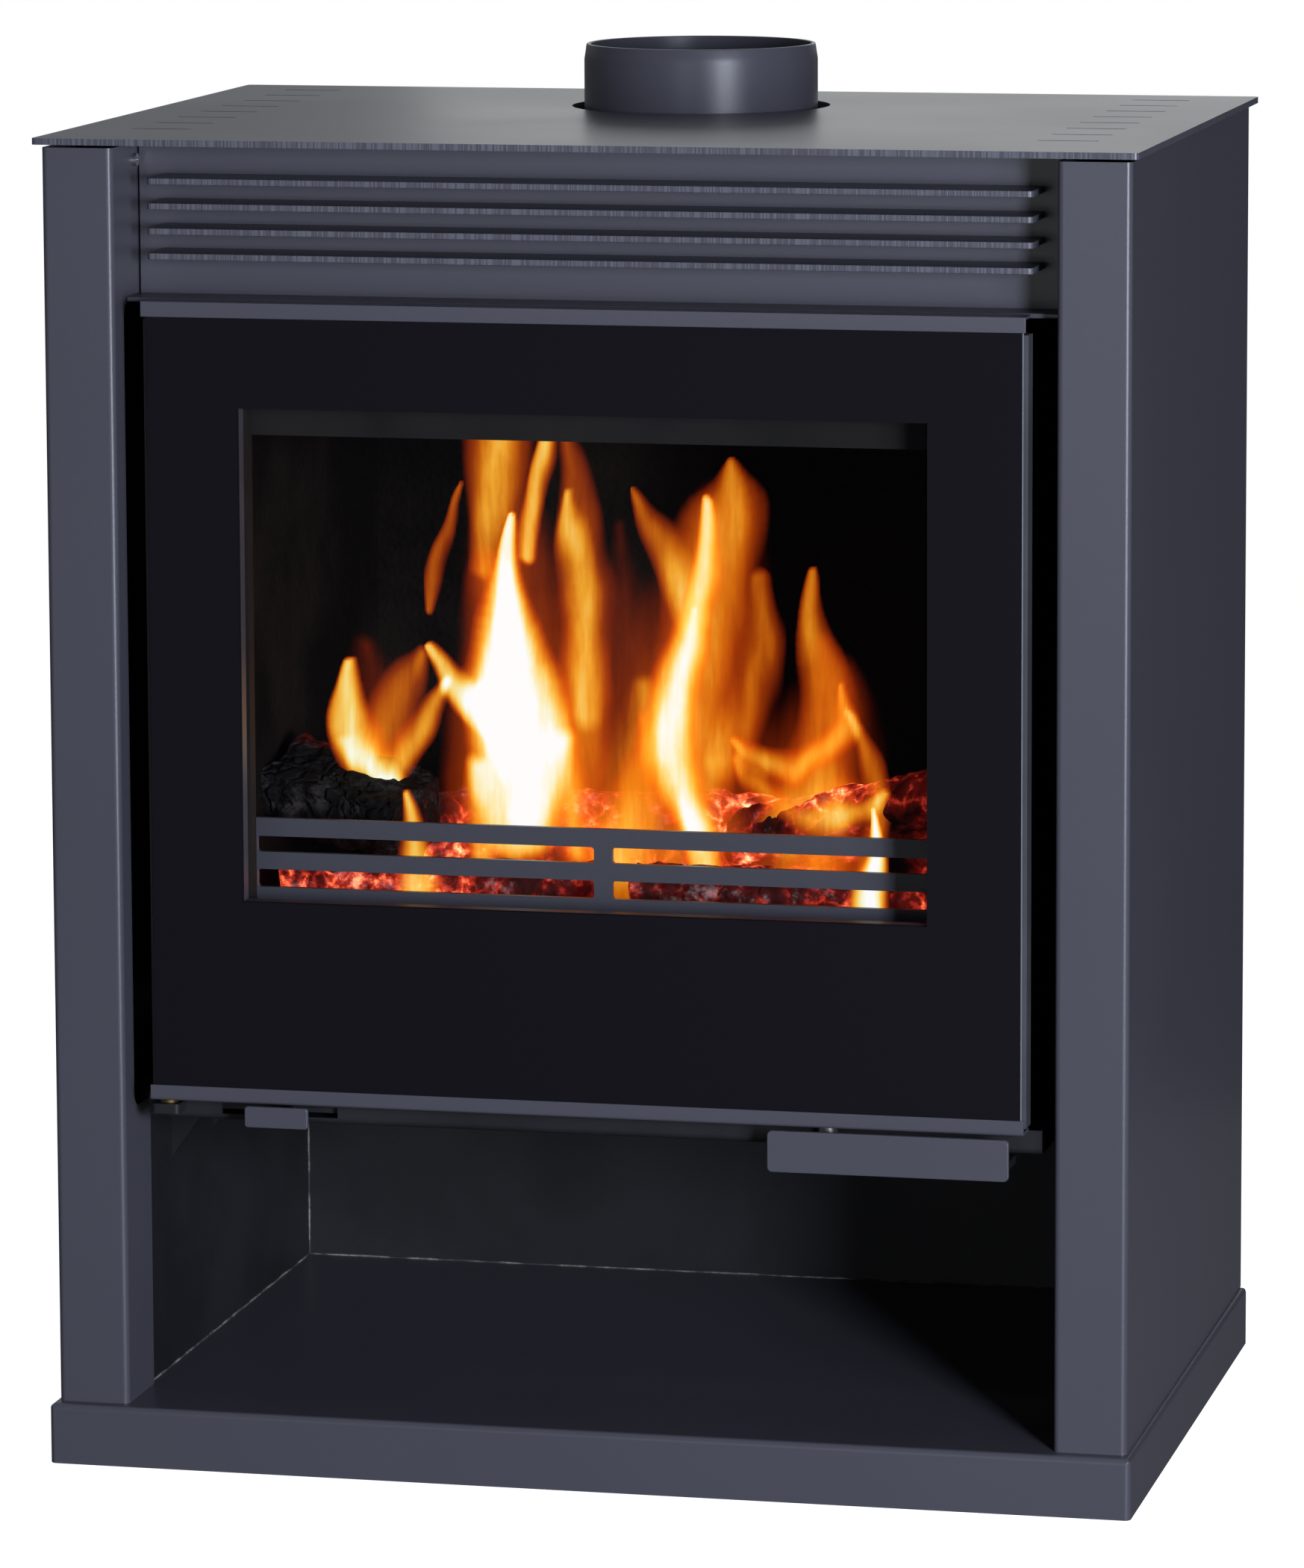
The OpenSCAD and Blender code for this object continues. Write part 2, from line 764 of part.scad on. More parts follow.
// Folded tray behind the glass: front plate, outer flange and a lip round the window
module door_frame() {
    window_x = window_w / 2;
    lip_t = 2;
    lip_rear = 13;
    color(black_paint) difference() {
        union() {
            ring_face(door_x, [tray_bottom, tray_top], window_x, [window_bottom, window_top],
                      tray_front, tray_inner);
            ring_face(door_x, [tray_bottom, tray_top], door_x - door_sheet_t,
                      [tray_bottom + door_sheet_t, tray_top - door_sheet_t], tray_inner, tray_rear);
            ring_face(window_x + lip_t, [window_bottom - lip_t, window_top + lip_t],
                      window_x, [window_bottom, window_top], tray_inner, lip_rear);
        }
        block([-door_x - 1, hinge_side_rear, tray_bottom - 1],
              [-door_x + door_sheet_t, tray_rear + 1, tray_top + 1]);
        upright(hinge_x, hinge_depth, tray_bottom - 1, tray_top + 1, bore_r);
        upright(handle_pin_x, handle_pin_depth, tray_bottom - 1, tray_bottom + door_sheet_t + 1, bore_r);
        for (x = clip_xs, z = clip_zs) bolt_back(x, z, tray_front - 1, tray_inner + 1, clip_screw_r + 0.1);
    }
}

module door_glass() {
    color("#1a1a1f", 0.8)
        block([-glass_x, glass_front, glass_bottom], [glass_x, glass_rear, glass_top]);
}

module glass_gasket() {
    window_x = window_w / 2;
    color("#c9c5ba") ring_face(window_x + 14, [window_bottom - 14, window_top + 14],
                               window_x + 2, [window_bottom - 2, window_top + 2], glass_rear, tray_front);
}

trim_flange = 17;
trim_tab_xs = [-200, 0, 200];

// Folded strip over the top edge of the glass, with tabs down to the frame
module door_top_trim() {
    color(anthracite) {
        across(-door_x + 0.5, door_x - 0.5) {
            translate([trim_front, door_top - trim_h]) square([trim_t, trim_h]);
            translate([trim_front + trim_t, door_top - trim_t]) square([trim_flange, trim_t]);
        }
        for (x = trim_tab_xs)
            block([x - 15, tray_front, tray_top], [x + 15, tray_inner, door_top - trim_t]);
    }
}

// The same strip under the glass, with a softer lower edge
module door_bottom_trim() {
    soft_r = 2;
    color(anthracite) difference() {
        across(-door_x + 0.5, door_x - 0.5) {
            translate([trim_front, door_bottom + soft_r]) square([trim_t, trim_h - soft_r]);
            translate([trim_front + soft_r, door_bottom]) square([trim_flange, trim_t]);
            intersection() {
                translate([trim_front + soft_r, door_bottom + soft_r]) circle(r = soft_r);
                translate([trim_front, door_bottom]) square(soft_r);
            }
        }
        for (spot = [[hinge_x, hinge_depth], [handle_pin_x, handle_pin_depth]])
            upright(spot[0], spot[1], door_bottom - 1, door_bottom + trim_t + 1, pin_r + 0.5);
    }
    color(anthracite) for (x = trim_tab_xs)
        block([x - 15, tray_front, door_bottom + trim_t], [x + 15, tray_inner, tray_bottom]);
}

// Fibre rope pressed against the firebox's front frame
module door_rope_seal() {
    rope_r = rope_d / 2;
    rope_x = window_w / 2 + 22;
    bend_r = 12;
    rope_depth = frame_front - 0.3 - rope_r;
    low = opening_bottom - 7;
    high = opening_top + 12;
    color("#8f8a80") {
        for (x = [-rope_x, rope_x]) upright(x, rope_depth, low + bend_r, high - bend_r, rope_r);
        for (z = [low, high]) translate([-rope_x + bend_r, at_depth(rope_depth), z]) rotate([0, 90, 0])
            cylinder(r = rope_r, h = 2 * (rope_x - bend_r));
        for (side = [-1, 1], end = [-1, 1])
            translate([side * (rope_x - bend_r), at_depth(rope_depth),
                       end < 0 ? low + bend_r : high - bend_r])
                rotate([90, 0, 0])
                    rotate([0, 0, side > 0 ? (end > 0 ? 0 : 270) : (end > 0 ? 90 : 180)])
                        rotate_extrude(angle = 90) translate([bend_r, 0]) circle(r = rope_r);
    }
}

clip_screw_r = 2;
clip_xs = [-224, 224];
clip_zs = [400, 620];

// Spring steel clips that hold the glass against its gasket
module glass_clips() {
    color(bright_steel) for (x = clip_xs, z = clip_zs) difference() {
        block([x - 7.5, tray_inner, z - 16], [x + 7.5, tray_inner + 1.2, z + 16]);
        bolt_back(x, z, tray_inner - 1, tray_inner + 3, clip_screw_r + 0.1);
    }
}

module glass_clip_screws() {
    color(bright_steel) for (x = clip_xs, z = clip_zs) {
        bolt_back(x, z, tray_inner + 1.2, tray_inner + 3.4, 3.6);
        bolt_back(x, z, tray_front + 0.2, tray_inner + 1.2 + eps, clip_screw_r);
    }
}

module hinge_block(low_z, high_z) {
    block_x1 = hinge_x + 7;
    color(dark_steel) difference() {
        block([-door_x + door_sheet_t, tray_inner, low_z], [block_x1, hinge_block_rear, high_z]);
        upright(hinge_x, hinge_depth, low_z - 1, high_z + 1, bore_r);
    }
}

module hinge_block_lower() {
    hinge_block(lower_block_low, lower_block_low + hinge_block_h);
}

module hinge_block_upper() {
    hinge_block(upper_block_high - hinge_block_h, upper_block_high);
}

// Block in the foot of the door that the handle's pin turns in
module handle_boss() {
    color(dark_steel) difference() {
        block([handle_pin_x - 9, tray_inner, tray_bottom + door_sheet_t],
              [handle_pin_x + 9, tray_rear - 0.5, tray_bottom + door_sheet_t + boss_h]);
        upright(handle_pin_x, handle_pin_depth, tray_bottom, tray_bottom + door_sheet_t + boss_h + 1, bore_r);
    }
}

// ---------- handle ----------

module handle_plate() {
    plate_corner = 3;
    color(anthracite)
        rounded_face([handle_left, trim_front - grip_t, handle_top - handle_h],
                     [handle_left + handle_w, trim_front, handle_top], plate_corner);
}

// Flat lever under the door: it carries the plate and ends in the latch tongue
module handle_lever() {
    lever_x0 = handle_pin_x - 14;
    lever_x1 = handle_left + handle_w - 4;
    arm_x0 = lever_x1 - 22;
    tongue_rear = 42;
    color(dark_steel) difference() {
        union() {
            block([lever_x0, trim_front, lever_bottom], [lever_x1, 20, lever_bottom + lever_t]);
            block([arm_x0, 20, lever_bottom], [lever_x1, tongue_rear, lever_bottom + lever_t]);
            block([keeper_x1 + 1, keeper_front + 5, lever_bottom], [arm_x0, tongue_rear, lever_bottom + lever_t]);
        }
        upright(handle_pin_x, handle_pin_depth, lever_bottom - 1, lever_bottom + lever_t + 1, pin_r);
    }
}

// Pivot pin, with a head under the lever and a spacing collar above it
module handle_pin() {
    head_r = pin_r + 2;
    color(bright_steel) {
        upright(handle_pin_x, handle_pin_depth, lever_bottom - 3, lever_bottom, head_r);
        upright(handle_pin_x, handle_pin_depth, lever_bottom, tray_bottom + door_sheet_t + boss_h, pin_r);
        upright(handle_pin_x, handle_pin_depth, lever_bottom + lever_t, door_bottom - 0.3, head_r);
    }
}

// ---------- air control ----------

// Valve plate inside the air box, with an arm that comes out through the slot
module air_slide() {
    valve_x = 45;
    valve_front = 24;
    valve_rear = 90;
    color(dark_steel) {
        block([-air_x - valve_x, valve_front, slide_bottom], [-air_x + valve_x, valve_rear, slide_bottom + slide_t]);
        block([-air_x - arm_w / 2, trim_front, slide_bottom],
              [-air_x + arm_w / 2, valve_front, slide_bottom + slide_t]);
    }
}

module air_control_tab() {
    tab_left = -air_x - tab_w / 2 + 4.7;
    tab_corner = 2;
    color(anthracite)
        rounded_face([tab_left, trim_front - grip_t, door_bottom - 1 - tab_h],
                     [tab_left + tab_w, trim_front, door_bottom - 1], tab_corner);
}

plinth();
left_side_panel();
right_side_panel();
back_panel();
back_panel_screws();
top_plate();
top_rail_left();
top_rail_right();
louvre_panel();
louvre_fin(0);  // louvre_fin_1
louvre_fin(1);  // louvre_fin_2
louvre_fin(2);  // louvre_fin_3
louvre_fin(3);  // louvre_fin_4
fascia_screws();
store_left_wall();
store_right_wall();
store_back_wall();
firebox_gussets();
firebox_left_plate();
firebox_right_plate();
firebox_rear_plate();
firebox_roof();
firebox_floor();
firebox_front_frame();
flue_collar();
air_box();
brick_left();
brick_right();
brick_rear();
hearth();
grate();
baffle_plate();
smoke_deflector();
air_wash_plate();
log_retainer();
retainer_brackets();
ash_pan();
ash_pan_handle();
hinge_bracket_lower();
hinge_bracket_upper();
hinge_pins();
hinge_washer();
latch_keeper();
door_frame();
door_glass();
glass_gasket();
door_top_trim();
door_bottom_trim();
door_rope_seal();
glass_clips();
glass_clip_screws();
hinge_block_lower();
hinge_block_upper();
handle_boss();
handle_plate();
handle_lever();
handle_pin();
air_slide();
air_control_tab();
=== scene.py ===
import json
import math
import random

import bmesh
import bpy
import numpy
from mathutils import Matrix, Vector, noise


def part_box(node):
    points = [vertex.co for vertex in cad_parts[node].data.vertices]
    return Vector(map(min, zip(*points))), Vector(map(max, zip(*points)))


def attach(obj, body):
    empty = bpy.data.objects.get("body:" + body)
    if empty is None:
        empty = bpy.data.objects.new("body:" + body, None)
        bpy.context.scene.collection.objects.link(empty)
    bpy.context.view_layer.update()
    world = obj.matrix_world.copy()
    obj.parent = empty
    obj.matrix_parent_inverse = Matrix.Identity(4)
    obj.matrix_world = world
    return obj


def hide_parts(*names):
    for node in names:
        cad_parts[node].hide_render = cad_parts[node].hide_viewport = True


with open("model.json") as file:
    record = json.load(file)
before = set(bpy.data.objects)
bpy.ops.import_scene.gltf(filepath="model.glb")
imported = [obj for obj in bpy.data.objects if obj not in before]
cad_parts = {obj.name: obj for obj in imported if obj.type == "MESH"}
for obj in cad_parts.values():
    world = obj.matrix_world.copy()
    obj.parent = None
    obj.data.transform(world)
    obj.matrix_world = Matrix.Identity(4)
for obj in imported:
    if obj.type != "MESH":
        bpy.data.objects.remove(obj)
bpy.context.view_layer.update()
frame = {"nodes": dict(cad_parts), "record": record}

record = frame["record"]
bodyOf = {node: body for body, nodes in record["behaviour"]["bodies"].items() for node in nodes}
slotOf = {part["node"]: part["material_slot"] for part in record["subparts"]}
scene = bpy.context.scene
noise.seed_set(12)  # so that every run gives the same logs and flames
print("frame loaded:", len(bodyOf), "nodes")


class Wire:
    # one output socket, so that arithmetic on it adds Math nodes
    def __init__(self, nodes, socket):
        self.nodes, self.socket = nodes, socket

    def maths(self, operation, left, right=0.0):
        return self.nodes.node("ShaderNodeMath", {"operation": operation}, {0: left, 1: right})

    def __add__(self, other):
        return self.maths("ADD", self, other)

    def __radd__(self, other):
        return self.maths("ADD", other, self)

    def __sub__(self, other):
        return self.maths("SUBTRACT", self, other)

    def __rsub__(self, other):
        return self.maths("SUBTRACT", other, self)

    def __mul__(self, other):
        return self.maths("MULTIPLY", self, other)

    def __rmul__(self, other):
        return self.maths("MULTIPLY", other, self)

    def __pow__(self, other):
        return self.maths("POWER", self, other)

    def __abs__(self):
        return self.maths("ABSOLUTE", self)


class Nodes:
    # one node tree, and the one way in which a node is added to it
    def __init__(self, tree):
        self.tree = tree
        self.tree.nodes.clear()

    def feed(self, node, sockets):
        for name, value in sockets.items():
            if isinstance(value, Wire):
                self.tree.links.new(value.socket, node.inputs[name])
            else:
                node.inputs[name].default_value = value

    def node(self, kind, settings=None, sockets=None, output=0):
        made = self.tree.nodes.new(kind)
        for name, value in (settings or {}).items():
            if name == "stops":
                ramp = made.color_ramp
                while len(ramp.elements) < len(value):
                    ramp.elements.new(0.5)
                for element, (position, colour) in zip(ramp.elements, value):
                    element.position, element.color = position, colour
            else:
                setattr(made, name, value)
        self.feed(made, sockets or {})
        return Wire(self, made.outputs[output])

    def ends(self, kind, surface):
        self.feed(self.tree.nodes.new(kind), {"Surface": surface})

    def mixed(self, first, second, share):
        # colour from first to second
        return self.node("ShaderNodeMix", {"data_type": "RGBA"}, {0: share, 6: first, 7: second}, 2)


class Finish(Nodes):
    # one material: a Principled shader and what feeds it
    def __init__(self, name, constants):
        self.material = bpy.data.materials.new(name)
        self.material.use_nodes = True
        super().__init__(self.material.node_tree)
        self.shader = self.tree.nodes.new("ShaderNodeBsdfPrincipled")
        self.ends("ShaderNodeOutputMaterial", Wire(self, self.shader.outputs[0]))
        self.place = self.node("ShaderNodeTexCoord", output="Object")
        self.feed(self.shader, constants)

    def along(self, axis):
        return self.node("ShaderNodeSeparateXYZ", {}, {0: self.place}, axis)

    def stretched(self, scale):
        return self.node("ShaderNodeMapping", {}, {"Vector": self.place, "Scale": scale})

    def noise(self, scale, detail=2.0, rough=0.5, at=None):
        sockets = {"Vector": at or self.place, "Scale": scale, "Detail": detail, "Roughness": rough}
        return self.node("ShaderNodeTexNoise", {}, sockets, "Fac")

    def span(self, value, low, high, toLow=0.0, toHigh=1.0):
        # value from low to high becomes toLow to toHigh, eased at both ends
        sockets = {"Value": value, "From Min": low, "From Max": high, "To Min": toLow, "To Max": toHigh}
        return self.node("ShaderNodeMapRange", {"interpolation_type": "SMOOTHSTEP"}, sockets)

    def attribute(self, name):
        return self.node("ShaderNodeAttribute", {"attribute_name": name}, output="Fac")

    def relief(self, height):
        # height in metres
        return self.node("ShaderNodeBump", {}, {"Height": height, "Distance": 1.0, "Strength": 1.0}, "Normal")

    def shows(self, sockets):
        self.feed(self.shader, sockets)
        return self.material


def rgb(red, green, blue):
    return (red, green, blue, 1.0)


# in each look a pattern's own entry is its scale, a span is where it sets in and where it is full,
# and depths are in metres
casingLook = {
    "dark": rgb(0.040, 0.040, 0.051), "light": rgb(0.048, 0.048, 0.061), "worn": rgb(0.15, 0.155, 0.18),
    "gloss": 0.65, "patches": 5.0, "patchSpan": (0.3, 0.7), "rough": (0.325, 0.355),
    "grain": 1400.0, "grainDepth": 0.00003, "ripple": 160.0, "rippleDepth": 0.00004,
    "sawLines": (900.0, 900.0, 6.0), "sawSpan": (0.42, 0.62), "sawShare": 0.3, "sawDepth": 0.0003,
    "scuffs": 70.0, "scuffSpan": (0.52, 0.7), "scuffShare": 0.55, "scuffShine": 0.08,
}


def casingPaint():
    look = casingLook
    paint = Finish("casingPaint", {"Specular IOR Level": look["gloss"]})
    patches = paint.noise(look["patches"], 3)
    grain = paint.noise(look["grain"], 2)
    ripple = paint.noise(look["ripple"], 2)
    sawn = paint.noise(1.0, 2, at=paint.stretched(look["sawLines"]))
    edge, cut = paint.attribute("edge"), paint.attribute("cut")
    tone = paint.mixed(look["dark"], look["light"], (patches + grain) * 0.5)
    cutTone = paint.mixed(look["dark"], look["worn"], paint.span(sawn, *look["sawSpan"]))
    tone = paint.mixed(tone, cutTone, cut * look["sawShare"])
    worn = paint.span(paint.noise(look["scuffs"], 4, 0.7), *look["scuffSpan"]) * edge
    tone = paint.mixed(tone, look["worn"], worn * look["scuffShare"])
    rough = paint.span(patches, *look["patchSpan"], *look["rough"]) - worn * look["scuffShine"]
    height = grain * look["grainDepth"] + ripple * look["rippleDepth"] + sawn * cut * look["sawDepth"]
    return paint.shows({"Base Color": tone, "Roughness": rough, "Normal": paint.relief(height)})


blackLook = {"gloss": 0.45, "patches": 9.0, "patchSpan": (0.35, 0.7), "roughSpread": 0.2}
blackLooks = {
    "stoveBlack": {"dark": rgb(0.0075, 0.0075, 0.009), "light": rgb(0.012, 0.012, 0.0145), "rough": 0.5,
                   "grain": 900.0, "grainDepth": 0.00006},
    "doorBlack": {"dark": rgb(0.034, 0.035, 0.040), "light": rgb(0.046, 0.047, 0.054), "rough": 0.42,
                  "grain": 1200.0, "grainDepth": 0.00003},
    "sootedSteel": {"dark": rgb(0.0035, 0.0033, 0.0035), "light": rgb(0.0085, 0.0078, 0.0074), "rough": 0.75,
                    "grain": 700.0, "grainDepth": 0.00010},
}


def blackPaint(name):
    look = {**blackLook, **blackLooks[name]}
    paint = Finish(name, {"Specular IOR Level": look["gloss"]})
    patches = paint.noise(look["patches"], 4, 0.6)
    grain = paint.noise(look["grain"], 2)
    return paint.shows({
        "Base Color": paint.mixed(look["dark"], look["light"], paint.span(patches, *look["patchSpan"])),
        "Roughness": look["rough"] + (patches - 0.5) * look["roughSpread"],
        "Normal": paint.relief(grain * look["grainDepth"])})


glassLook = {
    "print": rgb(0.0046, 0.0042, 0.0058), "speck": rgb(0.2, 0.2, 0.24), "edge": rgb(0.16, 0.18, 0.19),
    "gloss": 0.08, "refraction": 1.5, "clear": 0.05, "clearRough": 0.03, "printRough": 0.5,
    "printFade": 0.0004, "sheen": 14.0, "sheenRough": 0.1,
    "specks": 38.0, "speckSpan": (0.012, 0.02), "rareSpan": (0.6, 0.62),
    "sideBorder": 0.06, "overRetainer": 0.028, "windowTop": 0.663,
}


def doorGlass():
    # clear in the window, with a printed border around it
    look = glassLook
    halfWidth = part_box("door_frame")[1].x - look["sideBorder"]
    low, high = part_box("log_retainer")[0].z + look["overRetainer"], look["windowTop"]
    glass = Finish("ceramicGlass", {"Specular IOR Level": look["gloss"], "IOR": look["refraction"]})
    fromSides = halfWidth - abs(glass.along("X"))
    fromEnds = (high - low) / 2 - abs(glass.along("Z") - (high + low) / 2)
    printed = glass.span(fromSides.maths("MINIMUM", fromSides, fromEnds), 0.0, look["printFade"], 1.0, 0.0)
    cells = {"Vector": glass.place, "Scale": look["specks"]}
    near = glass.node("ShaderNodeTexVoronoi", {}, cells, "Distance")
    rare = glass.node("ShaderNodeTexVoronoi", {}, cells, "Color")
    speck = glass.span(near, *look["speckSpan"], 1.0, 0.0) * glass.span(rare, *look["rareSpan"])
    tone = glass.mixed(look["print"], look["speck"], speck)
    tone = glass.mixed(tone, look["edge"], glass.attribute("cut"))
    printRough = look["printRough"] + glass.noise(look["sheen"], 4, 0.65) * look["sheenRough"]
    return glass.shows({
        "Base Color": tone,
        "Roughness": look["clearRough"] + printed * (printRough - look["clearRough"]),
        "Alpha": look["clear"] + printed * (1 - look["clear"])})


brickLook = {
    "clean": rgb(0.020, 0.015, 0.011), "soot": rgb(0.0016, 0.0014, 0.0013), "gloss": 0.1,
    "bare": 7.0, "bareSpan": (0.42, 0.75), "bareShare": 0.35, "rough": 0.85, "flakeRough": 0.1,
    "flakes": 240.0, "flakeShare": 0.08, "flakeDepth": 0.0008, "lumps": 60.0, "lumpDepth": 0.0006,
}


def firedBrick():
    look = brickLook
    brick = Finish("sootedBrick", {"Specular IOR Level": look["gloss"]})
    flakes = brick.node("ShaderNodeTexVoronoi", {}, {"Vector": brick.place, "Scale": look["flakes"]},
                        "Distance")
    bare = brick.span(brick.noise(look["bare"], 5, 0.6), *look["bareSpan"])
    tone = brick.mixed(look["soot"], look["clean"], bare * look["bareShare"] + flakes * look["flakeShare"])
    height = flakes * look["flakeDepth"] + brick.noise(look["lumps"], 3) * look["lumpDepth"]
    return brick.shows({"Base Color": tone, "Roughness": look["rough"] + flakes * look["flakeRough"],
                        "Normal": brick.relief(height)})


ironLook = {
    "iron": rgb(0.022, 0.022, 0.023), "ash": rgb(0.16, 0.15, 0.14), "gloss": 0.4, "metal": 0.5,
    "sand": 500.0, "sandDepth": 0.0003, "rough": 0.6, "sandRough": 0.2,
    "dust": 30.0, "dustSpan": (0.5, 0.75), "dustShare": 0.6,
}


def castIron():
    look = ironLook
    iron = Finish("grateIron", {"Specular IOR Level": look["gloss"]})
    sand = iron.noise(look["sand"], 3, 0.6)
    dust = iron.span(iron.noise(look["dust"], 4, 0.6), *look["dustSpan"])
    return iron.shows({
        "Base Color": iron.mixed(look["iron"], look["ash"], dust * look["dustShare"]),
        "Roughness": look["rough"] + sand * look["sandRough"],
        "Metallic": look["metal"] - dust * look["metal"],
        "Normal": iron.relief(sand * look["sandDepth"])})


ropeLook = {
    "dark": rgb(0.07, 0.068, 0.064), "pale": rgb(0.28, 0.27, 0.255), "soot": rgb(0.03, 0.028, 0.027),
    "gloss": 0.2, "strands": 95.0, "twist": 1.6, "strandDepth": 0.0006,
    "fibres": 1500.0, "fibreDepth": 0.0002,
    "sooting": 25.0, "sootSpan": (0.5, 0.75), "sootShare": 0.7, "rough": 0.9, "fibreShine": 0.1,
}


def ropeFibre():
    look = ropeLook
    rope = Finish("sealRope", {"Specular IOR Level": look["gloss"]})

    def braid(at):
        sockets = {"Vector": at, "Scale": look["strands"], "Distortion": look["twist"], "Detail Scale": 3.0}
        return rope.node("ShaderNodeTexWave", {"bands_direction": "DIAGONAL"}, sockets, "Fac")

    strands, back = braid(rope.place), braid(rope.stretched((1, 1, -1)))
    fibre = rope.noise(look["fibres"], 2)
    soot = rope.span(rope.noise(look["sooting"], 4, 0.6), *look["sootSpan"])
    tone = rope.mixed(look["dark"], look["pale"], strands * 0.45 + back * 0.35 + fibre * 0.2)
    return rope.shows({
        "Base Color": rope.mixed(tone, look["soot"], soot * look["sootShare"]),
        "Roughness": look["rough"] - fibre * look["fibreShine"],
        "Normal": rope.relief((strands + back) * look["strandDepth"] + fibre * look["fibreDepth"])})


metalLook = {"gloss": 0.5, "brushing": (2200.0, 260.0, 260.0), "brushRough": 0.15, "brushDepth": 0.00004,
             "patches": 80.0, "patchMetal": 0.06, "patchShine": 0.05}
metalLooks = {
    "zincSteel": {"dark": rgb(0.42, 0.42, 0.44), "light": rgb(0.6, 0.6, 0.62), "rough": 0.3},
    "brassWasher": {"dark": rgb(0.16, 0.105, 0.04), "light": rgb(0.26, 0.18, 0.08), "rough": 0.45},
}


def plainMetal(name):
    look = {**metalLook, **metalLooks[name]}
    metal = Finish(name, {"Specular IOR Level": look["gloss"]})
    brushed = metal.noise(1.0, 3, at=metal.stretched(look["brushing"]))
    patches = metal.noise(look["patches"], 3)
    return metal.shows({
        "Base Color": metal.mixed(look["dark"], look["light"], patches),
        "Metallic": 1.0 - patches * look["patchMetal"],
        "Roughness": look["rough"] + brushed * look["brushRough"] - patches * look["patchShine"],
        "Normal": metal.relief(brushed * look["brushDepth"])})


finishes = {
    "casing_paint": casingPaint(),
    "dark_steel": blackPaint("stoveBlack"),
    "door_paint": blackPaint("doorBlack"),
    "ceramic_glass": doorGlass(),
    "fire_brick": firedBrick(),
    "cast_iron": castIron(),
    "rope_fibre": ropeFibre(),
    "bright_steel": plainMetal("zincSteel"),
    "brass": plainMetal("brassWasher"),
}
sootedSteel = blackPaint("sootedSteel")
sootedToo = ("air_wash_plate", "smoke_deflector")
for name, piece in frame["nodes"].items():
    sooted = name in sootedToo or name.startswith("firebox") and name != "firebox_gussets"
    piece.data.materials.clear()
    piece.data.materials.append(sootedSteel if sooted else finishes[slotOf[name]])
print("finishes made:", len(finishes) + 1)


def linked(name, shape, material):
    # an object made of the shape, in the scene
    mesh = bpy.data.meshes.new(name)
    shape.to_mesh(mesh)
    shape.free()
    mesh.materials.append(material)
    made = bpy.data.objects.new(name, mesh)
    scene.collection.objects.link(made)
    return made


def addPiece(name, shape, material, body, smooth=35):
    piece = linked(name, shape, material)
    piece.data.shade_smooth()
    piece.data.set_sharp_from_angle(angle=math.radians(smooth))
    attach(piece, body)
    return piece


# how far each piece's edges are rounded, in metres, and how its sheet lies if its cut edges show
edgeLook = {
    "top_plate": (0.0006, "lying"), "plinth": (0.0005, None),
    "left_side_panel": (0.0005, None), "right_side_panel": (0.0005, None),
    "louvre_fin_1": (0.0005, "lying"), "louvre_fin_2": (0.0005, "lying"),
    "louvre_fin_3": (0.0005, "lying"), "louvre_fin_4": (0.0005, "lying"),
    "door_top_trim": (0.0004, None), "door_bottom_trim": (0.0004, None), "door_glass": (0.0007, "upright"),
    "handle_plate": (0.0007, "upright"), "air_control_tab": (0.0007, "upright"),
    "log_retainer": (0.0006, "upright"), "flue_collar": (0.0006, None), "louvre_panel": (0.0006, None),
}
roundingLook = {"mergeWithin": 0.000002, "flatWithin": 0.4, "sharpOver": 35, "segments": 2, "cutTilt": 0.5}


def brokenEdges(node, width, sheetLies):
    # a merged copy of a CAD piece with its sharp edges rounded, and marked for wear
    look = roundingLook
    shape = bmesh.new()
    shape.from_mesh(frame["nodes"][node].data)
    bmesh.ops.remove_doubles(shape, verts=shape.verts, dist=look["mergeWithin"])
    bmesh.ops.dissolve_limit(shape, angle_limit=math.radians(look["flatWithin"]), verts=shape.verts,
                             edges=shape.edges)
    sharp = [edge for edge in shape.edges if len(edge.link_faces) == 2 and edge.is_convex
             and edge.calc_face_angle() > math.radians(look["sharpOver"])]
    rounded = bmesh.ops.bevel(shape, geom=sharp, offset=width, offset_type="OFFSET", affect="EDGES",
                              segments=look["segments"], profile=0.5, material=-1, clamp_overlap=True)
    fresh = set(rounded["faces"])
    edgeMark = shape.verts.layers.float.new("edge")
    cutMark = shape.faces.layers.float.new("cut")
    for vert in shape.verts:
        vert[edgeMark] = float(all(face in fresh for face in vert.link_faces))
    for face in shape.faces:
        tilt = abs(face.normal.z) if sheetLies == "lying" else abs(face.normal.y)
        face[cutMark] = float(sheetLies is not None and tilt < look["cutTilt"])
    slot = slotOf[node]
    piece = addPiece(node.replace("_", "-") + "-finished", shape, finishes[slot], bodyOf[node])
    weighted = piece.modifiers.new("flatFaces", "WEIGHTED_NORMAL")
    weighted.keep_sharp = True
    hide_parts(node)


for node, (width, sheetLies) in edgeLook.items():
    brokenEdges(node, width, sheetLies)
print("edges broken on", len(edgeLook), "pieces")


# filler run along the corners of the log store; sizes in metres
seamLook = {
    "pale": rgb(0.17, 0.162, 0.145), "dark": rgb(0.03, 0.03, 0.034), "gloss": 0.3,
    "patches": 55.0, "paleSpan": (0.42, 0.66), "rough": 0.6, "patchRough": 0.2,
    "grain": 900.0, "grainDepth": 0.0002, "radius": 0.0009, "sides": 8, "step": 0.004,
    "swell": 0.4, "swellScale": 160, "waver": 0.0004, "waverScale": 45,
    "shortOfFront": 0.002, "shortOfTop": 0.004,
}


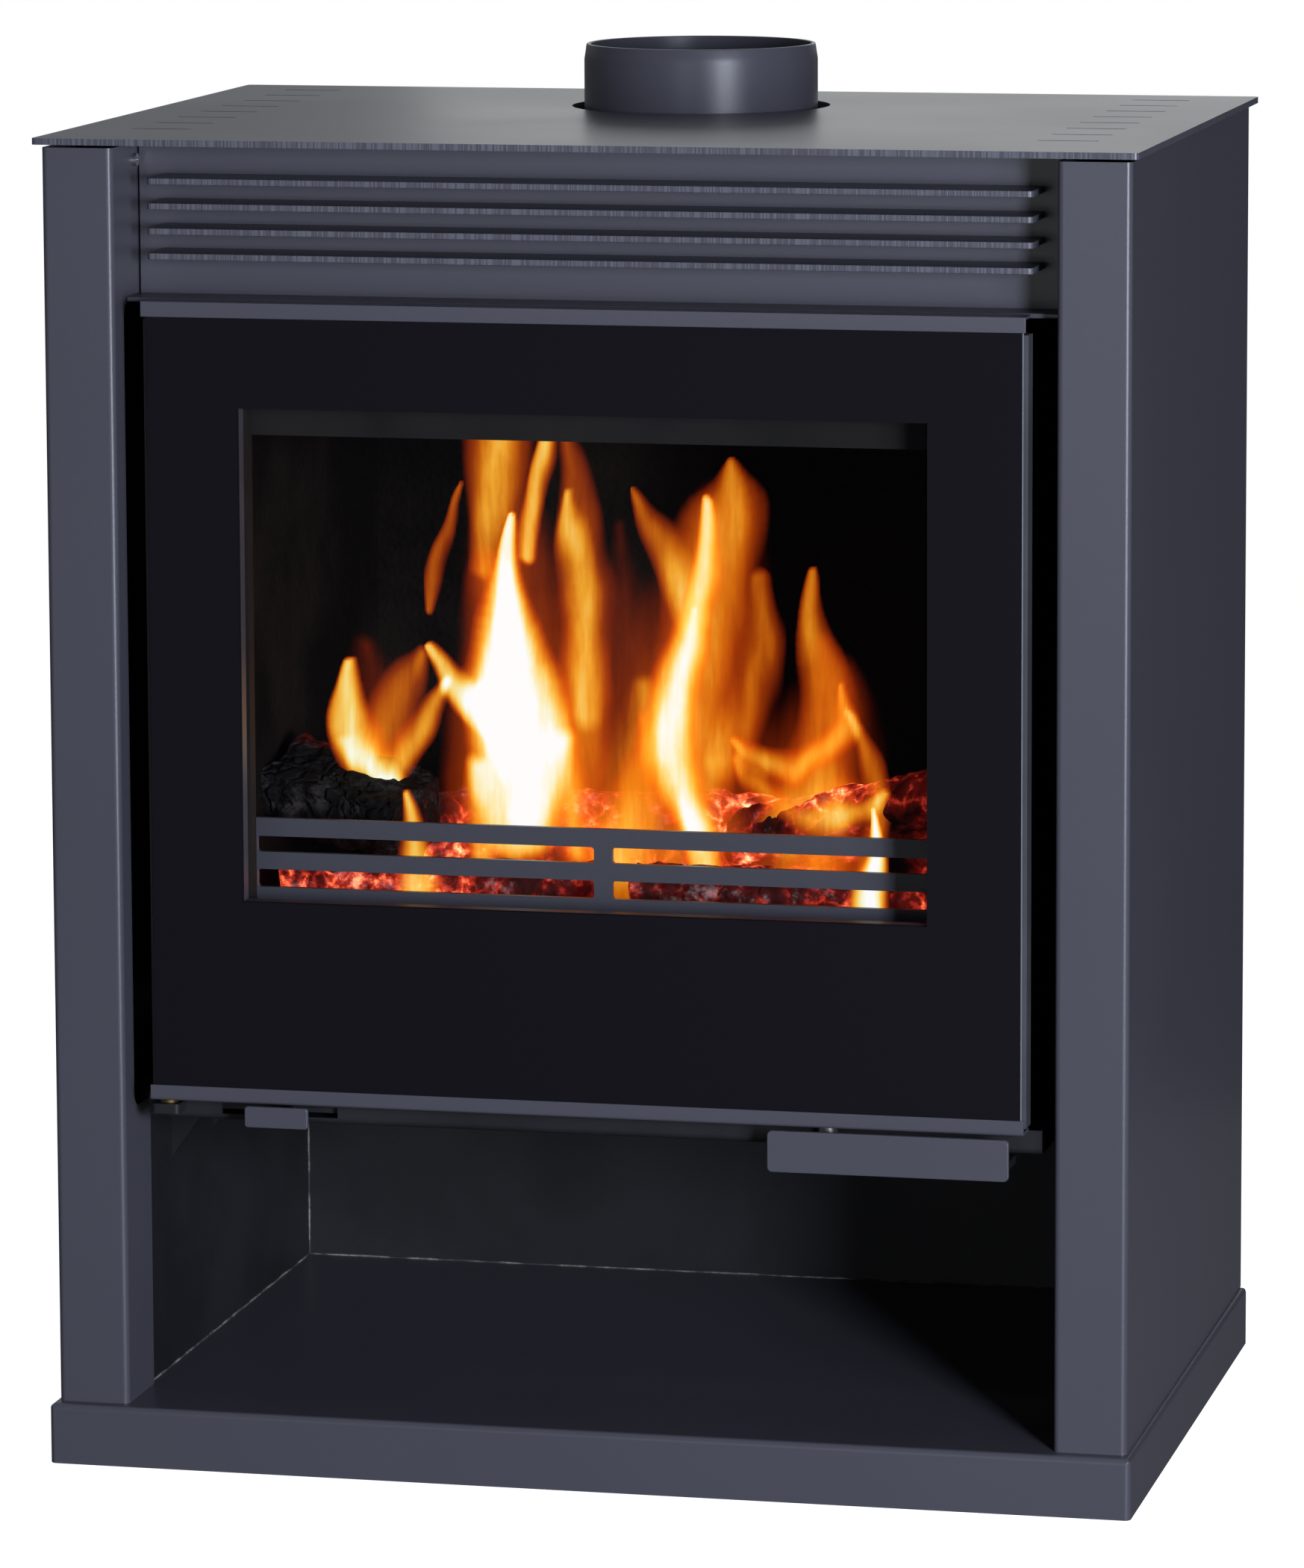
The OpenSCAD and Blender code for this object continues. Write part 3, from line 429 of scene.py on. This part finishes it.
def seamFiller():
    look = seamLook
    filler = Finish("seamFiller", {"Specular IOR Level": look["gloss"]})
    patches = filler.noise(look["patches"], 4, 0.65)
    return filler.shows({
        "Base Color": filler.mixed(look["dark"], look["pale"], filler.span(patches, *look["paleSpan"])),
        "Roughness": look["rough"] + patches * look["patchRough"],
        "Normal": filler.relief(filler.noise(look["grain"], 3) * look["grainDepth"])})


def longEdges(shape, reach):
    # the edges that run along an upright shape for more than reach
    return [edge for edge in shape.edges if abs(edge.verts[0].co.z - edge.verts[1].co.z) > reach]


def layAlong(shape, low, high):
    # lays a shape that stands on its middle between two points
    turn = (high - low).to_track_quat("Z", "Y").to_matrix().to_4x4()
    bmesh.ops.transform(shape, matrix=Matrix.Translation((low + high) / 2) @ turn, verts=shape.verts)


def storeSeam(name, start, end):
    look = seamLook
    low, high = Vector(start), Vector(end)
    length = (high - low).length
    shape = bmesh.new()
    bmesh.ops.create_cone(shape, cap_ends=True, segments=look["sides"], radius1=look["radius"],
                          radius2=look["radius"], depth=length)
    bmesh.ops.subdivide_edges(shape, edges=longEdges(shape, look["step"]), cuts=int(length / look["step"]),
                              use_grid_fill=True)
    for vert in shape.verts:
        swell = 1 + look["swell"] * noise.noise(Vector((vert.co.z * look["swellScale"], 2.0, 5.0)))
        drift = look["waver"] * noise.noise(Vector((vert.co.z * look["waverScale"], 7.0, 1.0)))
        vert.co = Vector((vert.co.x * swell + drift, vert.co.y * swell + drift, vert.co.z))
    layAlong(shape, low, high)
    addPiece(name, shape, seamMaterial, "stove", 60)


def storeSeams():
    leftWall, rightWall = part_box("store_left_wall"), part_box("store_right_wall")
    left, right = leftWall[1].x, rightWall[0].x
    front, back = leftWall[0].y + seamLook["shortOfFront"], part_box("store_back_wall")[0].y
    floor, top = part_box("plinth")[1].z, leftWall[1].z - seamLook["shortOfTop"]
    storeSeam("store-seam-left", (left, front, floor), (left, back, floor))
    storeSeam("store-seam-corner", (left, back, floor), (left, back, top))
    storeSeam("store-seam-back", (left, back, floor), (right, back, floor))
    storeSeam("store-seam-right", (right, front, floor), (right, back, floor))


seamMaterial = seamFiller()
storeSeams()
print("seams filled")

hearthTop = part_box("hearth")[1].z

charLook = {
    "char": rgb(0.0042, 0.0038, 0.0038), "ash": rgb(0.20, 0.19, 0.185), "gloss": 0.15, "shine": 1.5,
    "cells": 62.0, "bends": 38.0, "bendBy": 0.035, "crackWidth": 0.22, "crackDepth": 0.002,
    "heating": 15.0, "heatSpan": (0.58, 0.95), "heatFromGlow": 0.30, "evenHeat": 0.22, "crackHeat": 0.25,
    "flecks": 95.0, "fleckSpan": (0.40, 0.68), "fleckHeat": 0.35,
    "ashes": 60.0, "ashSpan": (0.5, 0.68), "ashShare": 0.7, "rough": 0.75, "ashRough": 0.2,
    "grain": 220.0, "grainDepth": 0.0006,
}
emberStops = [(0.0, rgb(0, 0, 0)), (0.2, rgb(0.06, 0.002, 0.001)), (0.42, rgb(0.38, 0.022, 0.010)),
              (0.62, rgb(0.90, 0.14, 0.045)), (0.8, rgb(1.0, 0.36, 0.13)), (1.0, rgb(1.0, 0.74, 0.42))]


def charredWood():
    look = charLook
    wood = Finish("charredWood", {"Specular IOR Level": look["gloss"], "Emission Strength": look["shine"]})
    warp = wood.node("ShaderNodeTexNoise", {}, {"Vector": wood.place, "Scale": look["bends"], "Detail": 4.0},
                     "Color")
    bent = wood.node("ShaderNodeVectorMath", {"operation": "MULTIPLY_ADD"},
                     {0: warp, 1: (look["bendBy"],) * 3, 2: wood.place})
    cells = wood.node("ShaderNodeTexVoronoi", {"feature": "DISTANCE_TO_EDGE"},
                      {"Vector": bent, "Scale": look["cells"]}, "Distance")
    crack = wood.span(cells, 0.0, look["crackWidth"], 1.0, 0.0)
    glow = wood.attribute("glow")
    hot = wood.span(wood.noise(look["heating"], 4, 0.6) + glow * look["heatFromGlow"], *look["heatSpan"])
    fleck = wood.span(wood.noise(look["flecks"], 5, 0.75), *look["fleckSpan"]) * look["fleckHeat"]
    heat = hot * (look["evenHeat"] + crack * (look["crackHeat"] + fleck) + fleck)
    ash = wood.span(wood.noise(look["ashes"], 5, 0.7), *look["ashSpan"]) * glow
    height = (1 - crack) * look["crackDepth"] + wood.noise(look["grain"], 3) * look["grainDepth"]
    return wood.shows({
        "Base Color": wood.mixed(look["char"], look["ash"], ash * look["ashShare"]),
        "Roughness": look["rough"] + ash * look["ashRough"],
        "Emission Color": wood.node("ShaderNodeValToRGB", {"stops": emberStops}, {0: heat}),
        "Normal": wood.relief(height)})


# sizes in mm, but lift in metres; streaks and wisps are scales across, deep and up
flameLook = {
    "shine": 2.2, "thick": 0.94, "fadeSpan": (0.04, 1.0),
    "streaks": (95.0, 95.0, 9.0), "streakShare": 0.55, "wisps": (38.0, 38.0, 17.0), "wispShare": 0.45,
    "columns": 214, "rows": 166, "halfWidth": 214, "height": 332, "lift": 0.001,
    "samples": 24, "thinnest": 1.5, "joining": 1.5, "faint": 0.03, "rimPasses": 3,
    "sway": 9.0, "swayScale": (0.022, 0.011), "flutter": 3.5, "flutterScale": (0.065, 0.03),
    "calmBelow": 80, "calmest": 0.2, "footHeight": 30, "footHeat": 0.6,
}
flameStops = [(0.0, rgb(0.8, 0.05, 0.002)), (0.14, rgb(0.95, 0.075, 0.004)), (0.30, rgb(0.73, 0.09, 0.003)),
              (0.46, rgb(0.74, 0.185, 0.005)), (0.60, rgb(0.72, 0.31, 0.022)), (0.74, rgb(0.60, 0.42, 0.10)),
              (0.87, rgb(0.52, 0.49, 0.31)), (1.0, rgb(0.52, 0.52, 0.52))]


def flameGlow():
    look = flameLook
    fire = Finish("flameGlow", {"Base Color": rgb(0, 0, 0), "Specular IOR Level": 0.0, "Roughness": 1.0,
                                "Emission Strength": look["shine"]})
    streaks = fire.noise(1.0, 3, 0.6, fire.stretched(look["streaks"])) - 0.5
    wisps = fire.noise(1.0, 4, 0.6, fire.stretched(look["wisps"])) - 0.5
    warmth = fire.attribute("hotness") * (1 + streaks * look["streakShare"] + wisps * look["wispShare"])
    return fire.shows({
        "Emission Color": fire.node("ShaderNodeValToRGB", {"stops": flameStops}, {0: warmth}),
        "Alpha": fire.span(warmth, *look["fadeSpan"]) * look["thick"]})


def alongCurve(points, share):
    # Catmull-Rom through the points, share from 0 to 1
    reach = share * (len(points) - 1)
    step = min(int(reach), len(points) - 2)
    t = reach - step
    a, b = points[max(step - 1, 0)], points[step]
    c, d = points[step + 1], points[min(step + 2, len(points) - 1)]
    return [0.5 * (2 * q + (r - p) * t + (2 * p - 5 * q + 4 * r - s) * t * t
                   + (3 * q - p - 3 * r + s) * t ** 3) for p, q, r, s in zip(a, b, c, d)]


# each sheet: depth and relief in mm, and its tongues
# each tongue: spine points (across, up from the hearth, half width) in mm, heat, how crisp its outline is
flames = {
    "rear": {"depth": -48, "relief": 12, "tongues": {
        "redHaze": ([(10, 10, 150), (0, 70, 150), (-10, 130, 100)], 0.24, 1.0),
        "leftHaze": ([(-180, 100, 28), (-184, 130, 28), (-186, 156, 14)], 0.16, 1.0),
        "tallOuter": ([(-76, 60, 50), (-78, 140, 52), (-86, 210, 40), (-94, 262, 30), (-92, 300, 26)],
                      0.32, 1.4),
        "tallCrest": ([(-106, 216, 10), (-102, 262, 18), (-96, 304, 24), (-98, 336, 15)], 0.44, 1.8),
        "middleShade": ([(10, 120, 30), (-6, 170, 28), (-16, 214, 22), (-26, 246, 8)], 0.14, 1.2),
        "middleVeil": ([(38, 90, 44), (36, 150, 46), (42, 205, 46), (48, 246, 34)], 0.24, 1.4),
        "rightVeil": ([(100, 50, 54), (112, 104, 46), (120, 140, 26), (116, 176, 10)], 0.30, 1.4),
        "gapVeil": ([(-30, 30, 40), (-10, 74, 40), (4, 108, 28), (0, 140, 12)], 0.36, 1.3),
    }},
    "middle": {"depth": -84, "relief": 9, "tongues": {
        "tallRight": ([(-44, 60, 26), (-34, 120, 26), (-34, 170, 19), (-38, 220, 12), (-40, 262, 4)],
                      0.44, 2.0),
        "tallEdge": ([(-70, 226, 9), (-66, 256, 10), (-56, 286, 9), (-50, 322, 4)], 0.66, 2.2),
        "tallStreak": ([(-32, 130, 16), (-30, 186, 18), (-36, 240, 14), (-40, 300, 8)], 0.36, 1.5),
        "tallVeil": ([(-88, 60, 38), (-88, 120, 40), (-90, 170, 30), (-90, 220, 16)], 0.40, 1.6),
        "middleHand": ([(42, 90, 22), (38, 146, 28), (46, 196, 36), (52, 236, 35), (62, 264, 22),
                        (60, 286, 5)], 0.50, 2.4),
        "middleFinger": ([(34, 190, 12), (20, 224, 15), (8, 250, 11), (-2, 268, 3)], 0.42, 2.0),
        "middleRight": ([(56, 100, 16), (72, 140, 18), (84, 180, 15), (84, 214, 8)], 0.42, 1.8),
        "rightTongue": ([(94, 60, 24), (112, 96, 28), (124, 130, 27), (118, 164, 18), (112, 196, 9),
                         (112, 222, 3)], 0.46, 2.2),
        "leftVeil": ([(-168, 84, 20), (-164, 112, 24), (-152, 138, 20), (-138, 158, 8)], 0.44, 1.8),
        "leftWisp": ([(-130, 186, 4), (-126, 210, 8), (-118, 238, 6), (-108, 272, 2)], 0.40, 2.0),
        "gapTongue": ([(-14, 40, 26), (2, 72, 26), (14, 100, 20), (10, 128, 6)], 0.48, 1.8),
        "lowRight": ([(90, 10, 40), (112, 46, 48), (128, 76, 30)], 0.46, 1.4),
        "lowMiddle": ([(-30, 6, 44), (10, 30, 50), (40, 56, 40)], 0.46, 1.4),
    }},
    "front": {"depth": -112, "relief": 7, "tongues": {
        "tallCore": ([(-66, 58, 26), (-68, 96, 31), (-70, 136, 35), (-74, 168, 29), (-78, 200, 19),
                      (-76, 226, 12), (-70, 252, 4)], 0.92, 2.6),
        "tallHeart": ([(-64, 72, 20), (-66, 108, 25), (-70, 144, 25), (-75, 180, 16), (-76, 216, 8)],
                      0.56, 1.7),
        "tallFoot": ([(-92, 34, 12), (-92, 64, 14), (-92, 100, 9)], 0.62, 1.6),
        "tallFringe": ([(-34, 44, 12), (-38, 80, 15), (-44, 112, 12)], 0.58, 1.6),
        "tallHorn": ([(-80, 132, 18), (-98, 136, 15), (-113, 150, 11), (-124, 168, 4)], 0.76, 2.0),
        "leftHot": ([(-154, 82, 13), (-166, 92, 17), (-176, 120, 14), (-178, 158, 4)], 0.80, 1.8),
        "leftHeart": ([(-156, 82, 8), (-167, 92, 11), (-176, 110, 7)], 0.36, 1.6),
        "leftSweep": ([(-156, 84, 12), (-146, 102, 13), (-130, 124, 11), (-112, 146, 5)], 0.56, 1.9),
        "middleCore": ([(50, 40, 15), (42, 72, 21), (26, 106, 23), (30, 144, 21), (42, 182, 17),
                        (50, 222, 13), (52, 262, 5)], 0.78, 2.2),
        "middleHeart": ([(46, 58, 10), (34, 92, 14), (28, 120, 14), (37, 160, 10), (46, 204, 4)], 0.46, 1.6),
        "rightLoop": ([(72, 118, 5), (94, 102, 11), (116, 106, 12), (138, 126, 10), (136, 152, 4)],
                      0.56, 1.9),
        "rightHook": ([(74, 106, 5), (94, 82, 11), (120, 70, 14), (148, 72, 9), (162, 86, 4)], 0.48, 1.8),
        "rightEdge": ([(152, 36, 10), (158, 72, 10), (152, 108, 9), (142, 136, 4)], 0.44, 1.8),
        "rightFoot": ([(120, 24, 32), (126, 50, 28), (134, 80, 18)], 0.42, 1.4),
    }},
    "low": {"depth": -164, "relief": 2, "tongues": {
        "lowYellow": ([(-122, 4, 18), (-120, 34, 19), (-126, 62, 13), (-132, 86, 4)], 0.74, 1.9),
        "lowWhite": ([(162, 4, 14), (162, 30, 14), (165, 54, 9), (161, 82, 3)], 1.05, 1.9),
        "lowSpark": ([(-170, 4, 8), (-166, 14, 10), (-170, 22, 3)], 0.84, 1.8),
    }},
}


def drifted(spots, seed, across, up):
    return numpy.array([noise.noise_vector(Vector((x * across, seed, z * up))) for x, z in spots])


def tongueHeat(spots, spine, heat, crisp):
    # hottest on the spine, none past its half width, at the nearest stretch of the spine to each spot
    look = flameLook
    curve = numpy.array([alongCurve(spine, step / look["samples"]) for step in range(look["samples"] + 1)])
    stepX, stepZ, widening = (curve[1:] - curve[:-1]).T
    offX, offZ = spots[:, :1] - curve[:-1, 0], spots[:, 1:] - curve[:-1, 1]
    share = numpy.clip((offX * stepX + offZ * stepZ) / (stepX ** 2 + stepZ ** 2), 0, 1)
    halfWidth = numpy.maximum(curve[:-1, 2] + share * widening, look["thinnest"])
    apart = numpy.hypot(offX - share * stepX, offZ - share * stepZ) / halfWidth
    return heat * numpy.clip(1 - apart.min(axis=1) ** crisp, 0, 1)


def flameSheet(name, sheet, seed):
    look = flameLook
    shape = bmesh.new()
    bmesh.ops.create_grid(shape, x_segments=look["columns"], y_segments=look["rows"], size=0.5)
    for vert in shape.verts:
        vert.co = Vector((vert.co.x * 2 * look["halfWidth"], 0, (vert.co.y + 0.5) * look["height"]))
    spots = numpy.array([(vert.co.x, vert.co.z) for vert in shape.verts])
    sway = drifted(spots, seed * 3.7, *look["swayScale"])
    flutter = drifted(spots, seed * 5.1, *look["flutterScale"])
    rise = numpy.clip(spots[:, 1:] / look["calmBelow"], look["calmest"], 1)
    spots = spots + rise * (sway[:, :2] * look["sway"] + flutter[:, :2] * look["flutter"])
    total = sum(tongueHeat(spots, *tongue) ** look["joining"] for tongue in sheet["tongues"].values())
    foot = numpy.clip(spots[:, 1] / look["footHeight"] + look["footHeat"], 0, 1)
    hotness = total ** (1 / look["joining"]) * foot
    heatMark = shape.verts.layers.float.new("hotness")
    for vert, hot, sweep in zip(shape.verts, hotness, sway):
        vert[heatMark] = hot
        vert.co.y = sheet["depth"] + sheet["relief"] * (sweep[2] - min(hot, 1))
    cold = [face for face in shape.faces if all(vert[heatMark] < look["faint"] for vert in face.verts)]
    bmesh.ops.delete(shape, geom=cold, context="FACES")
    rim = [vert for vert in shape.verts if vert.is_boundary]
    for _ in range(look["rimPasses"]):
        bmesh.ops.smooth_vert(shape, verts=rim, factor=0.5, use_axis_x=True, use_axis_z=True)
    toMetres = Matrix.Translation((0, 0, hearthTop + look["lift"])) @ Matrix.Scale(0.001, 4)
    bmesh.ops.transform(shape, matrix=toMetres, verts=shape.verts)
    flame = addPiece("flame-" + name, shape, flameMaterial, "stove", 180)
    flame.visible_diffuse = flame.visible_shadow = False


flameMaterial = flameGlow()
for index, (name, sheet) in enumerate(flames.items()):
    flameSheet(name, sheet, index + 1)
print("flames made:", sum(len(sheet["tongues"]) for sheet in flames.values()), "tongues")

# each log: its two ends (x, y, height over the hearth) and its radius in mm, then how much it glows
logs = {
    "leftLog": ((-226, -96, 82), (-132, -120, 66), 33, 0.15),
    "backLog": ((-150, -20, 36), (196, -40, 44), 34, 0.75),
    "rightLog": ((66, -60, 40), (206, -104, 84), 27, 0.8),
    "frontLeftLog": ((-214, -140, 20), (-14, -128, 24), 20, 0.85),
    "frontRightLog": ((10, -136, 22), (216, -128, 20), 21, 0.9),
}
# flat is how near the split face comes to the middle, and shares are of the radius
logLook = {
    "around": 48, "cuts": 52, "taper": 0.92, "flat": 0.55, "endRing": 0.4, "longOver": 0.01,
    "unevenness": 30, "lumpShare": 0.22, "lumpScale": 0.6, "knotShare": 0.05, "knotScale": 4,
    "cells": 62, "crackWidth": 4, "crackShare": 0.10, "raggedness": 0.006, "raggedScale": 1.7,
    "firstSplit": 1.9, "splitTurn": 1.1,
}


def fireLog(name, start, end, radius, glow, split):
    # split is the angle that the flat side faces
    look = logLook
    low = Vector(start) / 1000 + Vector((0, 0, hearthTop))
    high = Vector(end) / 1000 + Vector((0, 0, hearthTop))
    radius = radius / 1000
    shape = bmesh.new()
    bmesh.ops.create_cone(shape, cap_ends=True, segments=look["around"], radius1=radius,
                          radius2=radius * look["taper"], depth=(high - low).length)
    bmesh.ops.subdivide_edges(shape, edges=longEdges(shape, look["longOver"]), cuts=look["cuts"],
                              use_grid_fill=True)
    caps = [face for face in shape.faces if len(face.verts) > 4]
    bmesh.ops.inset_individual(shape, faces=caps, thickness=radius * look["endRing"])
    bmesh.ops.poke(shape, faces=[face for face in shape.faces if len(face.verts) > 4])
    glowMark = shape.verts.layers.float.new("glow")
    for vert in shape.verts:
        out = Vector((vert.co.x, vert.co.y, 0))
        away = math.cos(math.atan2(out.y, out.x) - split)
        if away > look["flat"]:
            out *= look["flat"] / away
        spot = vert.co * look["unevenness"] + Vector((split * 9, 0, split * 5))
        near = noise.voronoi(vert.co * look["cells"] + Vector((split, split, split)))[0]
        lump = look["lumpShare"] * noise.noise(spot * look["lumpScale"])
        knot = look["knotShare"] * noise.noise(spot * look["knotScale"])
        crack = look["crackShare"] * (min((near[1] - near[0]) * look["crackWidth"], 1.0) - 1)
        ragged = look["raggedness"] * noise.noise(spot * look["raggedScale"])
        vert.co = out * (1 + lump + knot + crack) + Vector((0, 0, vert.co.z + ragged))
        vert[glowMark] = glow
    layAlong(shape, low, high)
    addPiece(name, shape, charMaterial, "stove", 60)


charMaterial = charredWood()
for index, (name, (start, end, radius, glow)) in enumerate(logs.items()):
    fireLog(name, start, end, radius, glow, logLook["firstSplit"] + index * logLook["splitTurn"])

# in metres; no lump reaches below the top of the hearth
emberLook = {
    "seed": 7, "count": 150, "small": 0.005, "large": 0.013,
    "halfWidth": 0.205, "front": -0.160, "rear": 0.03, "heaping": 0.006,
    "wide": (0.6, 1.3), "high": (0.5, 0.9), "glow": (0.25, 1.0),
    "jagged": 0.3, "jaggedScale": 120, "clear": 0.0002,
}


def emberBed():
    look = emberLook
    draw = random.Random(look["seed"])
    shape = bmesh.new()
    glowMark = shape.verts.layers.float.new("glow")
    for _ in range(look["count"]):
        size = draw.uniform(look["small"], look["large"])
        x = draw.uniform(-look["halfWidth"], look["halfWidth"])
        y = draw.uniform(look["front"], look["rear"])
        turn = Matrix.Rotation(draw.uniform(0, 6.28), 4, "Z") @ Matrix.Rotation(draw.uniform(0, 3.14), 4, "X")
        place = Matrix.Translation((x, y, hearthTop + size / 2 + draw.uniform(0, look["heaping"])))
        stretch = Matrix.Diagonal((1.0, draw.uniform(*look["wide"]), draw.uniform(*look["high"]), 1.0))
        lump = bmesh.ops.create_icosphere(shape, subdivisions=1, radius=size, matrix=place @ turn @ stretch)
        glow = draw.uniform(*look["glow"])
        for vert in lump["verts"]:
            vert.co += noise.noise_vector(vert.co * look["jaggedScale"]) * size * look["jagged"]
            vert.co.z = max(vert.co.z, hearthTop + look["clear"])
            vert[glowMark] = glow
    addPiece("emberBed", shape, charMaterial, "stove", 20)


emberBed()
print("logs and embers made:", len(logs), "logs")


def aimed(place, target):
    turn = (Vector(target) - Vector(place)).to_track_quat("-Z", "Y")
    return Matrix.Translation(place) @ turn.to_matrix().to_4x4()


# sizes in metres and power in watts; glossy says whether a light is mirrored in shiny surfaces
lights = {
    "keyBox": {"place": (2.15, -3.45, 1.0), "target": (0.05, -0.15, 0.5), "size": (0.5, 0.9), "power": 205,
               "colour": (0.82, 0.875, 1.0), "glossy": False},
    "keyGlint": {"place": (2.76, -3.67, 0.6), "target": (0.05, -0.15, 0.6), "size": (1.5, 1.3), "power": 120,
                 "colour": (0.84, 0.89, 1.0), "glossy": True},
    "fillBox": {"place": (-0.35, -4.6, 0.7), "target": (0, 0, 0.6), "size": (1.2, 0.9), "power": 6,
                "colour": (0.90, 0.94, 1.0), "glossy": True},
    "backBox": {"place": (-0.1, 2.3, 1.25), "target": (0.1, 0, 0.82), "size": (1.3, 0.7), "power": 2.1,
                "colour": (0.97, 1.0, 1.0), "glossy": True},
    "topBox": {"place": (0, 0.4, 3.4), "target": (0, 0, 0.4), "size": (3.0, 3.0), "power": 8,
               "colour": (1.0, 1.0, 1.0), "glossy": True},
    "rearLeftBox": {"place": (-3.0, 2.6, 1.4), "target": (0, 0, 0.45), "size": (2.4, 2.0), "power": 60,
                    "colour": (0.92, 0.95, 1.0), "glossy": False},
}


def softbox(name, look):
    lamp = bpy.data.lights.new(name, "AREA")
    lamp.shape, lamp.size, lamp.size_y = "RECTANGLE", *look["size"]
    lamp.energy, lamp.color = look["power"], look["colour"]
    holder = bpy.data.objects.new(name, lamp)
    scene.collection.objects.link(holder)
    holder.matrix_world = aimed(look["place"], look["target"])
    holder.visible_camera, holder.visible_glossy = False, look["glossy"]


for name, look in lights.items():
    softbox(name, look)

# the backdrop is white where it is seen, and lights the stove more from behind and above than from elsewhere
worldLook = {"seen": rgb(1.0, 1.0, 1.0), "dim": rgb(0.08, 0.08, 0.085), "bright": rgb(0.42, 0.43, 0.45),
             "behind": (0.3, 1.0), "above": (-0.05, 0.12)}


def studioWorld():
    look = worldLook
    world = bpy.data.worlds.new("studioWorld")
    scene.world = world
    world.use_nodes = True
    sky = Nodes(world.node_tree)
    towards = sky.node("ShaderNodeTexCoord", output="Generated")

    def ramp(axis, low, high):
        way = sky.node("ShaderNodeSeparateXYZ", {}, {0: towards}, axis)
        return sky.node("ShaderNodeMapRange", {}, {"Value": way, "From Min": low, "From Max": high})

    share = ramp("Y", *look["behind"]) * ramp("Z", *look["above"])
    lit = sky.node("ShaderNodeBackground", {}, {"Color": sky.mixed(look["dim"], look["bright"], share)})
    seen = sky.node("ShaderNodeBackground", {}, {"Color": look["seen"]})
    cameraRay = sky.node("ShaderNodeLightPath", output="Is Camera Ray")
    sky.ends("ShaderNodeOutputWorld", sky.node("ShaderNodeMixShader", {}, {0: cameraRay, 1: lit, 2: seen}))


floorLook = {"pale": rgb(0.58, 0.58, 0.58), "grey": rgb(0.56, 0.56, 0.565), "patches": 3.0, "glow": 0.88,
             "rough": 0.9, "radius": 5.0, "sides": 96, "fade": (1.2, 4.0)}


def studioFloor():
    # pale paper that fades out before its rim
    look = floorLook
    paper = Finish("palePaper", {"Specular IOR Level": 0.0, "Roughness": look["rough"],
                                 "Emission Strength": look["glow"], "Emission Color": rgb(1, 1, 1)})
    x, y = paper.along("X"), paper.along("Y")
    material = paper.shows({
        "Base Color": paper.mixed(look["grey"], look["pale"], paper.noise(look["patches"])),
        "Alpha": paper.span((x * x + y * y) ** 0.5, *look["fade"], 1.0, 0.0)})
    shape = bmesh.new()
    bmesh.ops.create_circle(shape, cap_ends=True, segments=look["sides"], radius=look["radius"])
    floor = linked("studioFloor", shape, material)
    floor.visible_glossy = floor.visible_diffuse = False


flagLook = {"colour": rgb(0.01, 0.01, 0.01), "size": (1.5, 1.6, 1.0), "place": (1.18, 0.95, 0.81)}


def studioFlag():
    # dark card behind and beside the stove, out of view, that keeps glare off its right side
    look = flagLook
    cloth = Finish("flagCloth", {"Base Color": look["colour"], "Roughness": 1.0, "Specular IOR Level": 0.0})
    shape = bmesh.new()
    bmesh.ops.create_grid(shape, x_segments=1, y_segments=1, size=0.5)
    bmesh.ops.scale(shape, vec=look["size"], verts=shape.verts)
    bmesh.ops.rotate(shape, matrix=Matrix.Rotation(math.radians(90), 3, "X"), verts=shape.verts)
    bmesh.ops.translate(shape, vec=look["place"], verts=shape.verts)
    flag = linked("studioFlag", shape, cloth.material)
    flag.visible_camera = flag.visible_shadow = False


studioWorld()
studioFloor()
studioFlag()

cameraLook = {"place": (1.061142, -4.648199, 1.172467), "yaw": 12.968, "pitch": 8.006, "roll": -0.234,
              "lens": 174.11, "sensor": 36.0, "shiftDown": -0.1}


def addCamera():
    look = cameraLook
    yaw, pitch, roll = (math.radians(look[key]) for key in ("yaw", "pitch", "roll"))
    ahead = Vector((-math.sin(yaw) * math.cos(pitch), math.cos(yaw) * math.cos(pitch), -math.sin(pitch)))
    level = Vector((math.cos(yaw), math.sin(yaw), 0))
    rise = level.cross(ahead)
    right = math.cos(roll) * level + math.sin(roll) * rise
    up = math.cos(roll) * rise - math.sin(roll) * level
    camera = bpy.data.objects.new("camera", bpy.data.cameras.new("camera"))
    camera.data.lens, camera.data.sensor_width = look["lens"], look["sensor"]
    camera.data.shift_y = look["shiftDown"]
    camera.data.clip_start, camera.data.clip_end = 0.1, 100
    scene.collection.objects.link(camera)
    camera.matrix_world = Matrix((right, up, -ahead)).transposed().to_4x4()
    camera.location = look["place"]
    scene.camera = camera


addCamera()
scene.view_settings.view_transform = "Standard"
scene.cycles.use_denoising = True
print("studio ready")
